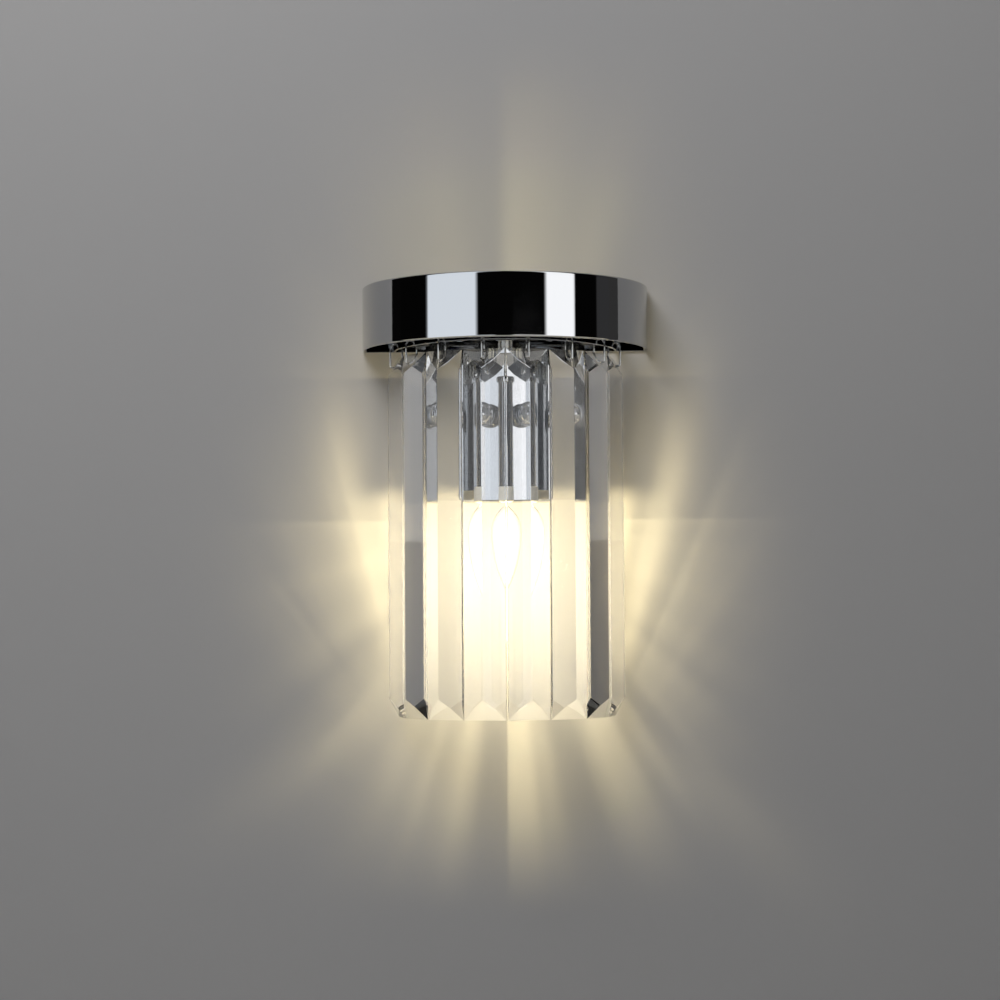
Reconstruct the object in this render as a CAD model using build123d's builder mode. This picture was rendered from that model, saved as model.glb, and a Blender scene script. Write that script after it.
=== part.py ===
from build123d import *
from math import asin, cos, degrees, radians, sin, sqrt
import os

# A half-round wall sconce: a polished band with eight hanging crystal prisms round one lamp.
# Frame: X to the right as seen from the room, Y into the wall, Z up. The wall is the plane Y = 0 and
# the origin lies on it, midway between the two ball nuts. All sizes are in millimetres.

os.makedirs("parts", exist_ok=True)

# ---------------------------------------------------------------- driving dimensions
# Half-round band and the strip that closes it at the wall
BAND_RADIUS = 100.0
BAND_HEIGHT = 44.0
BAND_WALL = 1.2
BAND_BOTTOM = 46.0  # height of the lower rim above the ball nuts
HEM_HEIGHT = 3.6
HEM_WALL = 2.4  # folded double
RING_OFFSET = 2.0  # from the wall to the centre of the band, the hoop and the prisms
STRIP_WALL = 1.2

# Back pan
PAN_WIDTH = 104.0
PAN_HEIGHT = 120.0
PAN_DEPTH = 22.0
PAN_WALL = 1.0
PAN_CORNER = 3.0
PAN_EDGE = 1.4

# Prisms
PRISM_COUNT = 8
PRISM_LENGTH = 250.0
PRISM_WIDTH = 28.6
PRISM_SIDE = 2.0  # height of the narrow side flats
PRISM_RIDGE = 9.5  # height of the ridge above the flat back
PRISM_BACK_RADIUS = 74.0  # from the ring's centre to the flat backs
RIDGE_CUT = 14.0  # how far the end cut climbs at the ridge
CORNER_CUT = 14.0  # how far it climbs at the side flats
PRISM_HOLE_RADIUS = 1.2
PRISM_HOLE_DOWN = 7.5

# Wire loops that carry the prisms
WIRE_RADIUS = 0.6
WIRE_SIDES = 8  # facets round a wire
LOOP_RADIUS = 4.2
LOOP_BEND = 0.9
LOOP_SLIT = 0.6
TOP_GAP = 5.0  # from the band's lower rim to the prism tops
HOOP_WALL = 1.2
HOOP_HOLE_RADIUS = 1.2

# Bridge channel
CHANNEL_WIDTH = 29.0
CHANNEL_HEIGHT = 8.0
CHANNEL_WALL = 1.5
BRIDGE_SCREW_SPREAD = 9.2
BRIDGE_SCREW_RADIUS = 2.0
BRIDGE_SCREW_LENGTH = 12.0
SCREW_HEAD_RADIUS = 3.4
SCREW_HEAD_HEIGHT = 2.4
BRIDGE_NUT_FLATS = 7.0
BRIDGE_NUT_HEIGHT = 3.2

# Lamp stem, tube and holder
LAMP_OUT = 51.0  # lamp axis from the wall
STEM_RADIUS = 5.0
STEM_BORE = 3.5
STEM_STAND = 1.5  # thread left above the top nut
STEM_NUT_FLATS = 14.0
STEM_NUT_HEIGHT = 3.0
STEM_SHOWN = 36.5  # from the bridge down to the tube cap
TUBE_CAP_RADIUS = 13.5
TUBE_CAP_HEIGHT = 4.0
TUBE_CAP_SPIGOT = 3.0
TUBE_RADIUS = 12.5
TUBE_LENGTH = 71.0
TUBE_WALL = 0.8
HOLDER_RIM_HEIGHT = 10.5
HOLDER_BOSS_RADIUS = 7.0
HOLDER_BOSS_HEIGHT = 6.0
HOLDER_CAP_HEIGHT = 19.0
HOLDER_CAP_WALL = 1.8
HOLDER_FLOOR = 4.0
HOLDER_MOUTH = 2.5
SHELL_BORE = 7.3
SHELL_WALL = 0.5
SPRING_ROOM = 2.5  # from the bulb's contact and the shell up to the socket's ceiling
CONTACT_RADIUS = 3.0
CONTACT_WALL = 0.5
RIVET_RADIUS = 1.5
TERMINAL_WIDTH = 3.9
TERMINAL_DEPTH = 6.0
TERMINAL_HEIGHT = 3.0

# Bulb
CAP_RADIUS = 6.95
CAP_WALL = 0.4
CAP_LENGTH = 20.0
CAP_INSET = 1.5  # from the holder's rim up to the cap
CONTACT_STAND = 4.0  # from the cap up to its contact's face
CAP_INSULATOR = 3.5
BULB_CONTACT_RADIUS = 2.4
BULB_CONTACT_HEIGHT = 1.0
NECK_INSIDE = 7.5  # length of glass neck inside the cap
BULB_RADIUS = 17.5
BULB_LENGTH = 95.5  # glass below the holder's rim
BULB_WALL = 0.6
SHOULDER_RADIUS = 4.0
SHOULDER_TURN = 55.0
TIP_RADIUS = 1.6
MOUNT_RADIUS = 2.2
MOUNT_LENGTH = 21.0
SUPPORT_WIRE_RADIUS = 0.3
SUPPORT_SPREAD = 5.0
SUPPORT_LENGTH = 26.0
FILAMENT_RADIUS = 0.5
FILAMENT_RISE = 7.0

# Wall bracket, studs and ball nuts
BRACKET_LENGTH = 99.0
BRACKET_HEIGHT = 18.0
BRACKET_WALL = 2.0
SLOT_SETBACK = 7.0  # from the bracket's end to the middle of its slot
SLOT_LENGTH = 9.0
SLOT_RADIUS = 2.25
TAB_WIDTH = 30.0
TAB_DROP = 27.0
STUD_SPREAD = 30.0
STUD_RADIUS = 2.5
STUD_LENGTH = 33.0
STUD_NUT_FLATS = 8.0
STUD_NUT_HEIGHT = 4.0
BALL_RADIUS = 8.5
BALL_FLAT = 7.0  # from the ball's centre to its flat back
COLLAR_RADIUS = 5.6
COLLAR_HEIGHT = 2.0
BALL_BORE_DEPTH = 12.5

# Wiring
LEAD_RADIUS = 1.0
LEAD_SPREAD = 2.3
LEAD_ARCH = 14.5  # how far the leads arch above the bridge
LEAD_BEND = 12.0
GROMMET_FLANGE = 0.8
GROMMET_LIP = 0.9
GROMMET_WALL = 0.8
BLOCK_WIDTH = 26.0
BLOCK_DEPTH = 13.0
BLOCK_HEIGHT = 17.0
BLOCK_POLE_PITCH = 8.0
BLOCK_BORE = 1.5
BLOCK_WELL = 2.0
BLOCK_WELL_DEPTH = 3.0
BLOCK_SCREW_RADIUS = 1.4
BLOCK_SCREW_DROP = 14.0  # below the block's top
EARTH_OUT = 16.0
EARTH_HEAD_RADIUS = 3.6
EARTH_LUG_RADIUS = 4.0
EARTH_LUG_WALL = 0.8
EARTH_LOOP = 15.0

# Clearances
SEAT = 0.05  # between a thread or spigot and its hole
HOLDER_EASE = 0.4  # between the lampholder and its tube
EASE = 0.3  # between a cut edge and the piece that passes it
STUD_EASE = 0.3
SCREW_EASE = 0.15

# ---------------------------------------------------------------- places worked out from them
bridge_level = PAN_HEIGHT / 2  # the bridge lies on the pan's top and on the hoop
web_top = bridge_level + CHANNEL_WALL
hoop_height = bridge_level - BAND_BOTTOM
hoop_hole_up = LOOP_RADIUS
hoop_hole_level = BAND_BOTTOM + hoop_hole_up
prism_top = BAND_BOTTOM - TOP_GAP
prism_bottom = prism_top - PRISM_LENGTH
prism_hole_level = prism_top - PRISM_HOLE_DOWN
half_width = PRISM_WIDTH / 2
slope_height = PRISM_RIDGE - PRISM_SIDE
# centre of area of the section, so that each prism hangs straight below its loop
balance_out = (PRISM_SIDE * PRISM_SIDE / 2 + slope_height / 2 * (PRISM_SIDE + slope_height / 3)) / (
    PRISM_SIDE + slope_height / 2
)
hang_radius = PRISM_BACK_RADIUS + balance_out
prism_pitch = 180 / PRISM_COUNT
prism_angles = [prism_pitch * (i - (PRISM_COUNT - 1) / 2) for i in range(PRISM_COUNT)]

cap_top = bridge_level - STEM_SHOWN
tube_top = cap_top - TUBE_CAP_HEIGHT
tube_bottom = tube_top - TUBE_LENGTH
rim_bottom = tube_bottom - HOLDER_RIM_HEIGHT
# the bulb's cap sets the depth of the socket, and that sets the lampholder's height
cap_end = rim_bottom + CAP_INSET
cap_start = cap_end + CAP_LENGTH
contact_face = cap_start + CONTACT_STAND
socket_ceiling = contact_face + SPRING_ROOM
holder_split = socket_ceiling + HOLDER_FLOOR
holder_top = holder_split + HOLDER_CAP_HEIGHT
holder_radius = TUBE_RADIUS - TUBE_WALL - HOLDER_EASE
socket_radius = SHELL_BORE + SHELL_WALL + SEAT
shell_bottom = rim_bottom + HOLDER_MOUTH + SHELL_WALL
shell_top = socket_ceiling - SPRING_ROOM
cavity_top = holder_top - HOLDER_BOSS_HEIGHT - 2 * HOLDER_CAP_WALL
stem_top = web_top + STEM_NUT_HEIGHT + STEM_STAND
stem_bottom = cavity_top

neck_radius = CAP_RADIUS - CAP_WALL - SEAT
neck_top = cap_end + NECK_INSIDE

lamp_axis = Axis((0, -LAMP_OUT, 0), (0, 0, 1))
lamp_plane = Plane.XZ.offset(LAMP_OUT)
ring_axis = Axis((0, -RING_OFFSET, 0), (0, 0, -1))
ring_plane = Plane.XZ.offset(RING_OFFSET)
grommet_out = PAN_DEPTH / 2


def keep(part, name):
    """Label a finished piece and write it to its own file."""
    part.label = name
    export_step(part, f"parts/{name}.step")


def hex_nut(flats, height, bore, places):
    """A group of plain hexagon nuts, one on each plane given, growing along the plane's normal."""
    with BuildPart() as nuts:
        for place in places:
            with BuildSketch(place):
                RegularPolygon(flats / 2, 6, major_radius=False)
                Circle(bore, mode=Mode.SUBTRACT)
            extrude(amount=height)
        top_edges = nuts.edges().filter_by(GeomType.CIRCLE, reverse=True)
        chamfer(top_edges.filter_by(lambda e: e.length < flats), length=flats / 24)
    return nuts.part


def wire_along(route, radius):
    """A wire with an eight-sided section along a route of lines and arcs."""
    with BuildPart() as wire:
        with BuildSketch(Plane(route @ 0, z_dir=route % 0)):
            RegularPolygon(radius, WIRE_SIDES)
        sweep(path=route)
    return wire.part


def lamp_turning(*points):
    """A solid turned about the lamp's axis from a closed outline of (radius, height) corners."""
    with BuildPart() as turning:
        with BuildSketch(lamp_plane):
            with BuildLine():
                Polyline(*points, close=True)
            make_face()
        revolve(axis=lamp_axis)
    return turning.part


# ---------------------------------------------------------------- half-round band
def band_section():
    """The band's wall with a folded, rounded hem along its top and its bottom edge."""
    with BuildSketch() as section:
        with Locations((BAND_RADIUS - BAND_WALL / 2, BAND_BOTTOM + BAND_HEIGHT / 2)):
            Rectangle(BAND_WALL, BAND_HEIGHT - HEM_WALL)
        for middle in (BAND_BOTTOM + HEM_HEIGHT / 2, BAND_BOTTOM + BAND_HEIGHT - HEM_HEIGHT / 2):
            with Locations((BAND_RADIUS - HEM_WALL / 2, middle)):
                SlotOverall(HEM_HEIGHT, HEM_WALL, rotation=90)
    return section.sketch


with BuildPart() as band:
    with BuildSketch(ring_plane):
        add(band_section())
    revolve(axis=ring_axis, revolution_arc=180)
    with BuildSketch(ring_plane) as band_ends:
        add(band_section())
        mirror(about=Plane.YZ)
    extrude(amount=-RING_OFFSET)
keep(band.part, "band")

# ---------------------------------------------------------------- strip at the wall
strip_length = 2 * (BAND_RADIUS - BAND_WALL)
hem_step = HEM_WALL - BAND_WALL + EASE
with BuildPart() as back_strip:
    with BuildSketch(Plane.XZ):
        with Locations((0, BAND_BOTTOM + BAND_HEIGHT / 2)):
            Rectangle(strip_length, BAND_HEIGHT)
        for side in (-1, 1):
            for level in (BAND_BOTTOM, BAND_BOTTOM + BAND_HEIGHT):
                with Locations((side * strip_length / 2, level)):
                    Rectangle(2 * hem_step, 2 * (HEM_HEIGHT + EASE), mode=Mode.SUBTRACT)
        Rectangle(PAN_WIDTH + 2 * EASE, PAN_HEIGHT + 2 * EASE, mode=Mode.SUBTRACT)
    extrude(amount=STRIP_WALL)
keep(back_strip.part, "back_strip")

# ---------------------------------------------------------------- hoop that carries the prisms
hoop_inner = hang_radius - HOOP_WALL / 2


def ring_point(angle, radius, height):
    """A point at the given angle from straight out, seen from above, and distance from the ring's axis."""
    turn = radians(angle)
    return Vector(radius * sin(turn), -RING_OFFSET - radius * cos(turn), height)


def outward(angle):
    """The horizontal direction away from the ring's axis."""
    turn = radians(angle)
    return Vector(sin(turn), -cos(turn), 0)


with BuildPart() as hanger_hoop:
    with BuildSketch(ring_plane):
        with Locations((hang_radius, BAND_BOTTOM + hoop_height / 2)):
            Rectangle(HOOP_WALL, hoop_height)
    revolve(axis=ring_axis, revolution_arc=180)
    with BuildSketch(ring_plane):
        with Locations(*[(side * hang_radius, BAND_BOTTOM + hoop_height / 2) for side in (-1, 1)]):
            Rectangle(HOOP_WALL, hoop_height)
    extrude(amount=-(RING_OFFSET - STRIP_WALL))
    for angle in prism_angles:
        with BuildSketch(Plane(ring_point(angle, hang_radius, hoop_hole_level), z_dir=outward(angle))):
            Circle(HOOP_HOLE_RADIUS)
        extrude(amount=HOOP_WALL, both=True, mode=Mode.SUBTRACT)
keep(hanger_hoop.part, "hanger_hoop")


# ---------------------------------------------------------------- crystal prisms
def facet(place, a, b, c, inside):
    """The cutting plane through three points of a prism's own frame, facing away from its inside."""
    a, b, c, inside = (place.from_local_coords(Vector(*p)) for p in (a, b, c, inside))
    normal = (b - a).cross(c - a)
    if normal.dot(inside - a) > 0:
        normal = -normal
    return Plane(a, x_dir=b - a, z_dir=normal)


def make_prism(angle):
    """A five-sided bar with its flat back to the lamp and three facets cut on each end."""
    across = Vector(cos(radians(angle)), sin(radians(angle)), 0)
    place = Plane(ring_point(angle, PRISM_BACK_RADIUS, prism_bottom), x_dir=across, z_dir=(0, 0, 1))
    with BuildPart() as prism:
        with BuildSketch(place):
            with BuildLine():
                Polyline(
                    (-half_width, 0),
                    (half_width, 0),
                    (half_width, -PRISM_SIDE),
                    (0, -PRISM_RIDGE),
                    (-half_width, -PRISM_SIDE),
                    close=True,
                )
            make_face()
        extrude(amount=PRISM_LENGTH)
        middle = (0, -PRISM_SIDE / 2, PRISM_LENGTH / 2)
        # where the ridge facet and a corner facet meet on the slanted face
        meet_x = half_width / 2
        meet_y = PRISM_SIDE + slope_height / 2
        meet_z = RIDGE_CUT * meet_y / PRISM_RIDGE
        for end, climb in ((0, 1), (PRISM_LENGTH, -1)):
            apex = (0, -PRISM_RIDGE, end + climb * RIDGE_CUT)
            split(
                bisect_by=facet(place, (-half_width, 0, end), (half_width, 0, end), apex, middle),
                keep=Keep.BOTTOM,
            )
            for side in (-1, 1):
                corner = (side * half_width, 0, end)
                shoulder = (side * half_width, -PRISM_SIDE, end + climb * CORNER_CUT)
                meeting = (side * meet_x, -meet_y, end + climb * meet_z)
                split(bisect_by=facet(place, corner, shoulder, meeting, middle), keep=Keep.BOTTOM)
        with BuildSketch(Plane(ring_point(angle, hang_radius, prism_hole_level), z_dir=outward(angle))):
            Circle(PRISM_HOLE_RADIUS)
        extrude(amount=PRISM_RIDGE, both=True, mode=Mode.SUBTRACT)
    return prism.part


for number, angle in enumerate(prism_angles, start=1):
    keep(make_prism(angle), f"prism_{number}")


# ---------------------------------------------------------------- wire loops
loop_centre_level = hoop_hole_level - LOOP_RADIUS
# the flat foot of the loop lies just under the upper edge of the prism's hole
loop_foot_level = prism_hole_level + PRISM_HOLE_RADIUS - WIRE_RADIUS - SEAT
loop_drop = loop_centre_level - loop_foot_level


def make_hook(angle):
    """A split wire loop: round over the hoop, square through the prism."""
    out = outward(angle)
    across = Vector(cos(radians(angle)), sin(radians(angle)), 0)
    place = Plane(ring_point(angle, hang_radius, loop_centre_level), x_dir=out, z_dir=-across)
    with BuildLine(place) as route:
        rise = Line((-LOOP_RADIUS, -loop_drop / 2), (-LOOP_RADIUS, 0))
        crown = JernArc(rise @ 1, rise % 1, LOOP_RADIUS, -180)
        fall = Line(crown @ 1, (LOOP_RADIUS, -loop_drop + LOOP_BEND))
        outer_bend = JernArc(fall @ 1, fall % 1, LOOP_BEND, -90)
        foot = Line(outer_bend @ 1, (-LOOP_RADIUS + LOOP_BEND, -loop_drop))
        inner_bend = JernArc(foot @ 1, foot % 1, LOOP_BEND, -90)
        Line(inner_bend @ 1, (-LOOP_RADIUS, -loop_drop / 2 - LOOP_SLIT))
    return wire_along(route.line, WIRE_RADIUS)


for number, angle in enumerate(prism_angles, start=1):
    keep(make_hook(angle), f"hook_{number}")

# ---------------------------------------------------------------- back pan
screw_places = [(side * BRIDGE_SCREW_SPREAD, -grommet_out) for side in (-1, 1)]
grommet_radius = LEAD_SPREAD + LEAD_RADIUS + GROMMET_WALL + 0.2
with BuildPart() as back_pan:
    with BuildSketch(Plane.XZ):
        RectangleRounded(PAN_WIDTH, PAN_HEIGHT, PAN_CORNER)
    extrude(amount=PAN_DEPTH)
    fillet(back_pan.faces().sort_by(Axis.Y)[0].edges(), radius=PAN_EDGE)
    with BuildSketch(Plane.XZ):
        RectangleRounded(PAN_WIDTH - 2 * PAN_WALL, PAN_HEIGHT - 2 * PAN_WALL, PAN_CORNER - PAN_WALL)
    extrude(amount=PAN_DEPTH - PAN_WALL, mode=Mode.SUBTRACT)
    with BuildSketch(Plane.XZ.offset(PAN_DEPTH)):
        with Locations((-STUD_SPREAD, 0), (STUD_SPREAD, 0)):
            Circle(STUD_RADIUS + STUD_EASE)
    extrude(amount=-2 * PAN_WALL, mode=Mode.SUBTRACT)
    with BuildSketch(Plane.XY.offset(bridge_level)):
        with Locations((0, -grommet_out)):
            Circle(grommet_radius + SEAT)
        with Locations(*screw_places):
            Circle(BRIDGE_SCREW_RADIUS + SCREW_EASE)
    extrude(amount=-2 * PAN_WALL, mode=Mode.SUBTRACT)
keep(back_pan.part, "back_pan")

# ---------------------------------------------------------------- bridge over the pan to the hoop
bridge_length = RING_OFFSET + hang_radius + HOOP_WALL / 2 - STRIP_WALL
with BuildPart() as bridge:
    with BuildSketch(Plane.XZ.offset(STRIP_WALL)):
        with Locations((0, bridge_level + CHANNEL_HEIGHT / 2)):
            channel = Rectangle(CHANNEL_WIDTH, CHANNEL_HEIGHT)
        fillet(channel.vertices().sort_by(Axis.Y)[:2], radius=CHANNEL_WALL)
        with Locations((0, web_top + CHANNEL_HEIGHT / 2)):
            Rectangle(CHANNEL_WIDTH - 2 * CHANNEL_WALL, CHANNEL_HEIGHT, mode=Mode.SUBTRACT)
    extrude(amount=bridge_length)
    with BuildSketch(Plane.XY.offset(bridge_level)):
        with Locations((0, -LAMP_OUT)):
            Circle(STEM_RADIUS + SEAT)
        with Locations((0, -grommet_out)):
            Circle(grommet_radius + SEAT)
        with Locations(*screw_places):
            Circle(BRIDGE_SCREW_RADIUS + SCREW_EASE)
    extrude(amount=CHANNEL_WALL, mode=Mode.SUBTRACT)
keep(bridge.part, "bridge")

with BuildPart() as bridge_screws:
    with BuildSketch(Plane.XY.offset(web_top)):
        with Locations(*screw_places):
            Circle(SCREW_HEAD_RADIUS)
    extrude(amount=SCREW_HEAD_HEIGHT)
    chamfer(bridge_screws.faces().sort_by(Axis.Z)[-2:].edges(), length=SCREW_HEAD_HEIGHT / 3)
    with BuildSketch(Plane.XY.offset(web_top)):
        with Locations(*screw_places):
            Circle(BRIDGE_SCREW_RADIUS)
    extrude(amount=-BRIDGE_SCREW_LENGTH)
keep(bridge_screws.part, "bridge_screws")

nut_level = bridge_level - PAN_WALL - BRIDGE_NUT_HEIGHT
nut_places = [Plane((x, y, nut_level)) for x, y in screw_places]
bridge_nuts = hex_nut(BRIDGE_NUT_FLATS, BRIDGE_NUT_HEIGHT, BRIDGE_SCREW_RADIUS + SEAT, nut_places)
keep(bridge_nuts, "bridge_nuts")

with BuildPart() as grommet:
    with BuildSketch(Plane.XZ.offset(grommet_out)):
        with BuildLine():
            Polyline(
                (grommet_radius - GROMMET_WALL, web_top + GROMMET_FLANGE),
                (grommet_radius + GROMMET_LIP, web_top + GROMMET_FLANGE),
                (grommet_radius + GROMMET_LIP, web_top),
                (grommet_radius, web_top),
                (grommet_radius, bridge_level - PAN_WALL),
                (grommet_radius + GROMMET_LIP, bridge_level - PAN_WALL),
                (grommet_radius + GROMMET_LIP, bridge_level - PAN_WALL - GROMMET_FLANGE),
                (grommet_radius - GROMMET_WALL, bridge_level - PAN_WALL - GROMMET_FLANGE),
                close=True,
            )
        make_face()
    revolve(axis=Axis((0, -grommet_out, 0), (0, 0, 1)))
keep(grommet.part, "grommet")

# ---------------------------------------------------------------- lamp stem and its nuts
lamp_stem = lamp_turning(
    (STEM_BORE, stem_bottom),
    (STEM_RADIUS, stem_bottom),
    (STEM_RADIUS, stem_top),
    (STEM_BORE, stem_top),
)
keep(lamp_stem, "lamp_stem")

stem_nut_levels = [web_top, bridge_level - STEM_NUT_HEIGHT, cap_top]
stem_nut_places = [Plane((0, -LAMP_OUT, level)) for level in stem_nut_levels]
stem_nuts = hex_nut(STEM_NUT_FLATS, STEM_NUT_HEIGHT, STEM_RADIUS + SEAT, stem_nut_places)
keep(stem_nuts, "stem_nuts")

# ---------------------------------------------------------------- polished tube and its cap
spigot_radius = TUBE_RADIUS - TUBE_WALL - SEAT
with BuildPart() as tube_cap:
    with BuildSketch(Plane((0, -LAMP_OUT, tube_top))):
        Circle(TUBE_CAP_RADIUS)
    extrude(amount=TUBE_CAP_HEIGHT)
    fillet(tube_cap.faces().sort_by(Axis.Z)[-1].edges(), radius=TUBE_CAP_HEIGHT / 4)
    with BuildSketch(Plane((0, -LAMP_OUT, tube_top))):
        Circle(spigot_radius)
    extrude(amount=-TUBE_CAP_SPIGOT)
    with Locations((0, -LAMP_OUT, cap_top)):
        Hole(STEM_RADIUS + SEAT)
keep(tube_cap.part, "tube_cap")

socket_tube = lamp_turning(
    (TUBE_RADIUS - TUBE_WALL, tube_bottom),
    (TUBE_RADIUS, tube_bottom),
    (TUBE_RADIUS, tube_top),
    (TUBE_RADIUS - TUBE_WALL, tube_top),
)
keep(socket_tube, "socket_tube")

# ---------------------------------------------------------------- lampholder
boss_foot = holder_top - HOLDER_BOSS_HEIGHT
holder_cap = lamp_turning(
    (STEM_RADIUS + SEAT, holder_top),
    (HOLDER_BOSS_RADIUS, holder_top),
    (HOLDER_BOSS_RADIUS, boss_foot),
    (holder_radius - HOLDER_CAP_WALL, boss_foot),
    (holder_radius, boss_foot - HOLDER_CAP_WALL),
    (holder_radius, holder_split),
    (holder_radius - HOLDER_CAP_WALL, holder_split),
    (holder_radius - HOLDER_CAP_WALL, cavity_top),
    (STEM_RADIUS + SEAT, cavity_top),
)
keep(holder_cap, "holder_cap")

holder_body = lamp_turning(
    (RIVET_RADIUS + SEAT, holder_split),
    (holder_radius, holder_split),
    (holder_radius, tube_bottom),
    (TUBE_RADIUS, tube_bottom),
    (TUBE_RADIUS, rim_bottom + HOLDER_MOUTH / 2),
    (TUBE_RADIUS - HOLDER_MOUTH / 2, rim_bottom),
    (socket_radius + SHELL_WALL, rim_bottom),
    (socket_radius, rim_bottom + HOLDER_MOUTH),
    (socket_radius, socket_ceiling),
    (RIVET_RADIUS + SEAT, socket_ceiling),
)
keep(holder_body, "holder_body")

threaded_shell = lamp_turning(
    (SHELL_BORE, shell_bottom),
    (SHELL_BORE + SHELL_WALL, shell_bottom),
    (SHELL_BORE + SHELL_WALL, shell_top),
    (SHELL_BORE, shell_top),
)
keep(threaded_shell, "threaded_shell")

spring_face = contact_face + EASE
centre_contact = lamp_turning(
    (0, holder_split),
    (RIVET_RADIUS, holder_split),
    (RIVET_RADIUS, spring_face + CONTACT_WALL),
    (CONTACT_RADIUS, spring_face + CONTACT_WALL),
    (CONTACT_RADIUS, spring_face),
    (0, spring_face),
)
keep(centre_contact, "centre_contact")

with BuildPart() as holder_terminals:
    with BuildSketch(Plane((0, -LAMP_OUT, holder_split))):
        with Locations((-LEAD_SPREAD, 0), (LEAD_SPREAD, 0)):
            Rectangle(TERMINAL_WIDTH, TERMINAL_DEPTH)
    extrude(amount=TERMINAL_HEIGHT)
    chamfer(holder_terminals.edges().filter_by(Axis.Z), length=TERMINAL_WIDTH / 8)
keep(holder_terminals.part, "holder_terminals")

# ---------------------------------------------------------------- bulb
bulb_cap = lamp_turning(
    (CAP_RADIUS - CAP_WALL, cap_end),
    (CAP_RADIUS, cap_end),
    (CAP_RADIUS, cap_start),
    (CAP_RADIUS - CAP_WALL, cap_start),
)
keep(bulb_cap, "bulb_cap")

plug_radius = CAP_RADIUS - CAP_WALL - SEAT
plug_bottom = cap_start - CAP_INSULATOR
cap_insulator = lamp_turning(
    (0, contact_face - BULB_CONTACT_HEIGHT),
    (BULB_CONTACT_RADIUS, contact_face - BULB_CONTACT_HEIGHT),
    (plug_radius, cap_start),
    (plug_radius, plug_bottom),
    (0, plug_bottom),
)
keep(cap_insulator, "cap_insulator")

bulb_contact = lamp_turning(
    (0, contact_face),
    (BULB_CONTACT_RADIUS * 0.8, contact_face),
    (BULB_CONTACT_RADIUS, contact_face - BULB_CONTACT_HEIGHT),
    (0, contact_face - BULB_CONTACT_HEIGHT),
)
keep(bulb_contact, "bulb_contact")

# the shoulder swells out of the neck, the body turns in, and the flame runs down to a fine round tip
shoulder = radians(SHOULDER_TURN)
swell_out = SHOULDER_RADIUS * (1 - cos(shoulder))
body_radius = (BULB_RADIUS - neck_radius - swell_out) / (1 - cos(shoulder))
shoulder_start = cap_end - SEAT
widest_level = shoulder_start - (SHOULDER_RADIUS + body_radius) * sin(shoulder)
tip_level = rim_bottom - BULB_LENGTH
# the flame's two arcs turn in and out again: their turn follows from the width and length left over
flame_width = BULB_RADIUS - TIP_RADIUS
flame_length = widest_level - tip_level - TIP_RADIUS
flame_turn = 2 * asin(flame_width / sqrt(flame_width**2 + flame_length**2))
flame_radius = flame_length / (2 * sin(flame_turn))


def envelope_face(inset):
    """Half of the bulb's outline, drawn inwards from the outer surface by the inset."""
    with BuildSketch(lamp_plane) as outline:
        with BuildLine():
            neck = Line((neck_radius - inset, neck_top), (neck_radius - inset, shoulder_start))
            swell = JernArc(neck @ 1, neck % 1, SHOULDER_RADIUS + inset, SHOULDER_TURN)
            body = JernArc(swell @ 1, swell % 1, body_radius - inset, -SHOULDER_TURN)
            turn_in = JernArc(body @ 1, body % 1, flame_radius - inset, -degrees(flame_turn))
            turn_out = JernArc(turn_in @ 1, turn_in % 1, flame_radius + inset, degrees(flame_turn))
            tip = JernArc(turn_out @ 1, turn_out % 1, TIP_RADIUS - inset, -90)
            Polyline(tip @ 1, (0, neck_top), neck @ 0)
        make_face()
    return outline.sketch


with BuildPart() as bulb_glass:
    with BuildSketch(lamp_plane):
        add(envelope_face(0))
        add(envelope_face(BULB_WALL), mode=Mode.SUBTRACT)
    revolve(axis=lamp_axis)
keep(bulb_glass.part, "bulb_glass")

mount_end = neck_top - MOUNT_LENGTH
flare_radius = neck_radius - BULB_WALL - SEAT
bulb_mount = lamp_turning(
    (0, neck_top),
    (flare_radius, neck_top),
    (flare_radius, neck_top - flare_radius / 2),
    (MOUNT_RADIUS, neck_top - 2 * flare_radius),
    (MOUNT_RADIUS, mount_end),
    (0, mount_end),
)
keep(bulb_mount, "bulb_mount")

filament_level = mount_end - SUPPORT_LENGTH


def rod(start, end, radius):
    """A round wire with flat ends between two points."""
    start, end = Vector(*start), Vector(*end)
    with BuildPart() as wire:
        with BuildSketch(Plane(start, z_dir=end - start)):
            Circle(radius)
        extrude(amount=(end - start).length)
    return wire.part


with BuildPart() as support_wires:
    for side in (-1, 1):
        root = (side * MOUNT_RADIUS / 2, -LAMP_OUT, mount_end)
        add(rod(root, (side * SUPPORT_SPREAD, -LAMP_OUT, filament_level), SUPPORT_WIRE_RADIUS))
keep(support_wires.part, "support_wires")

filament_foot = filament_level - FILAMENT_RADIUS - SUPPORT_WIRE_RADIUS
with BuildLine(lamp_plane) as coil_route:
    ThreePointArc(
        (-SUPPORT_SPREAD, filament_foot),
        (0, filament_foot - FILAMENT_RISE),
        (SUPPORT_SPREAD, filament_foot),
    )
keep(wire_along(coil_route.line, FILAMENT_RADIUS), "filament")

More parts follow.
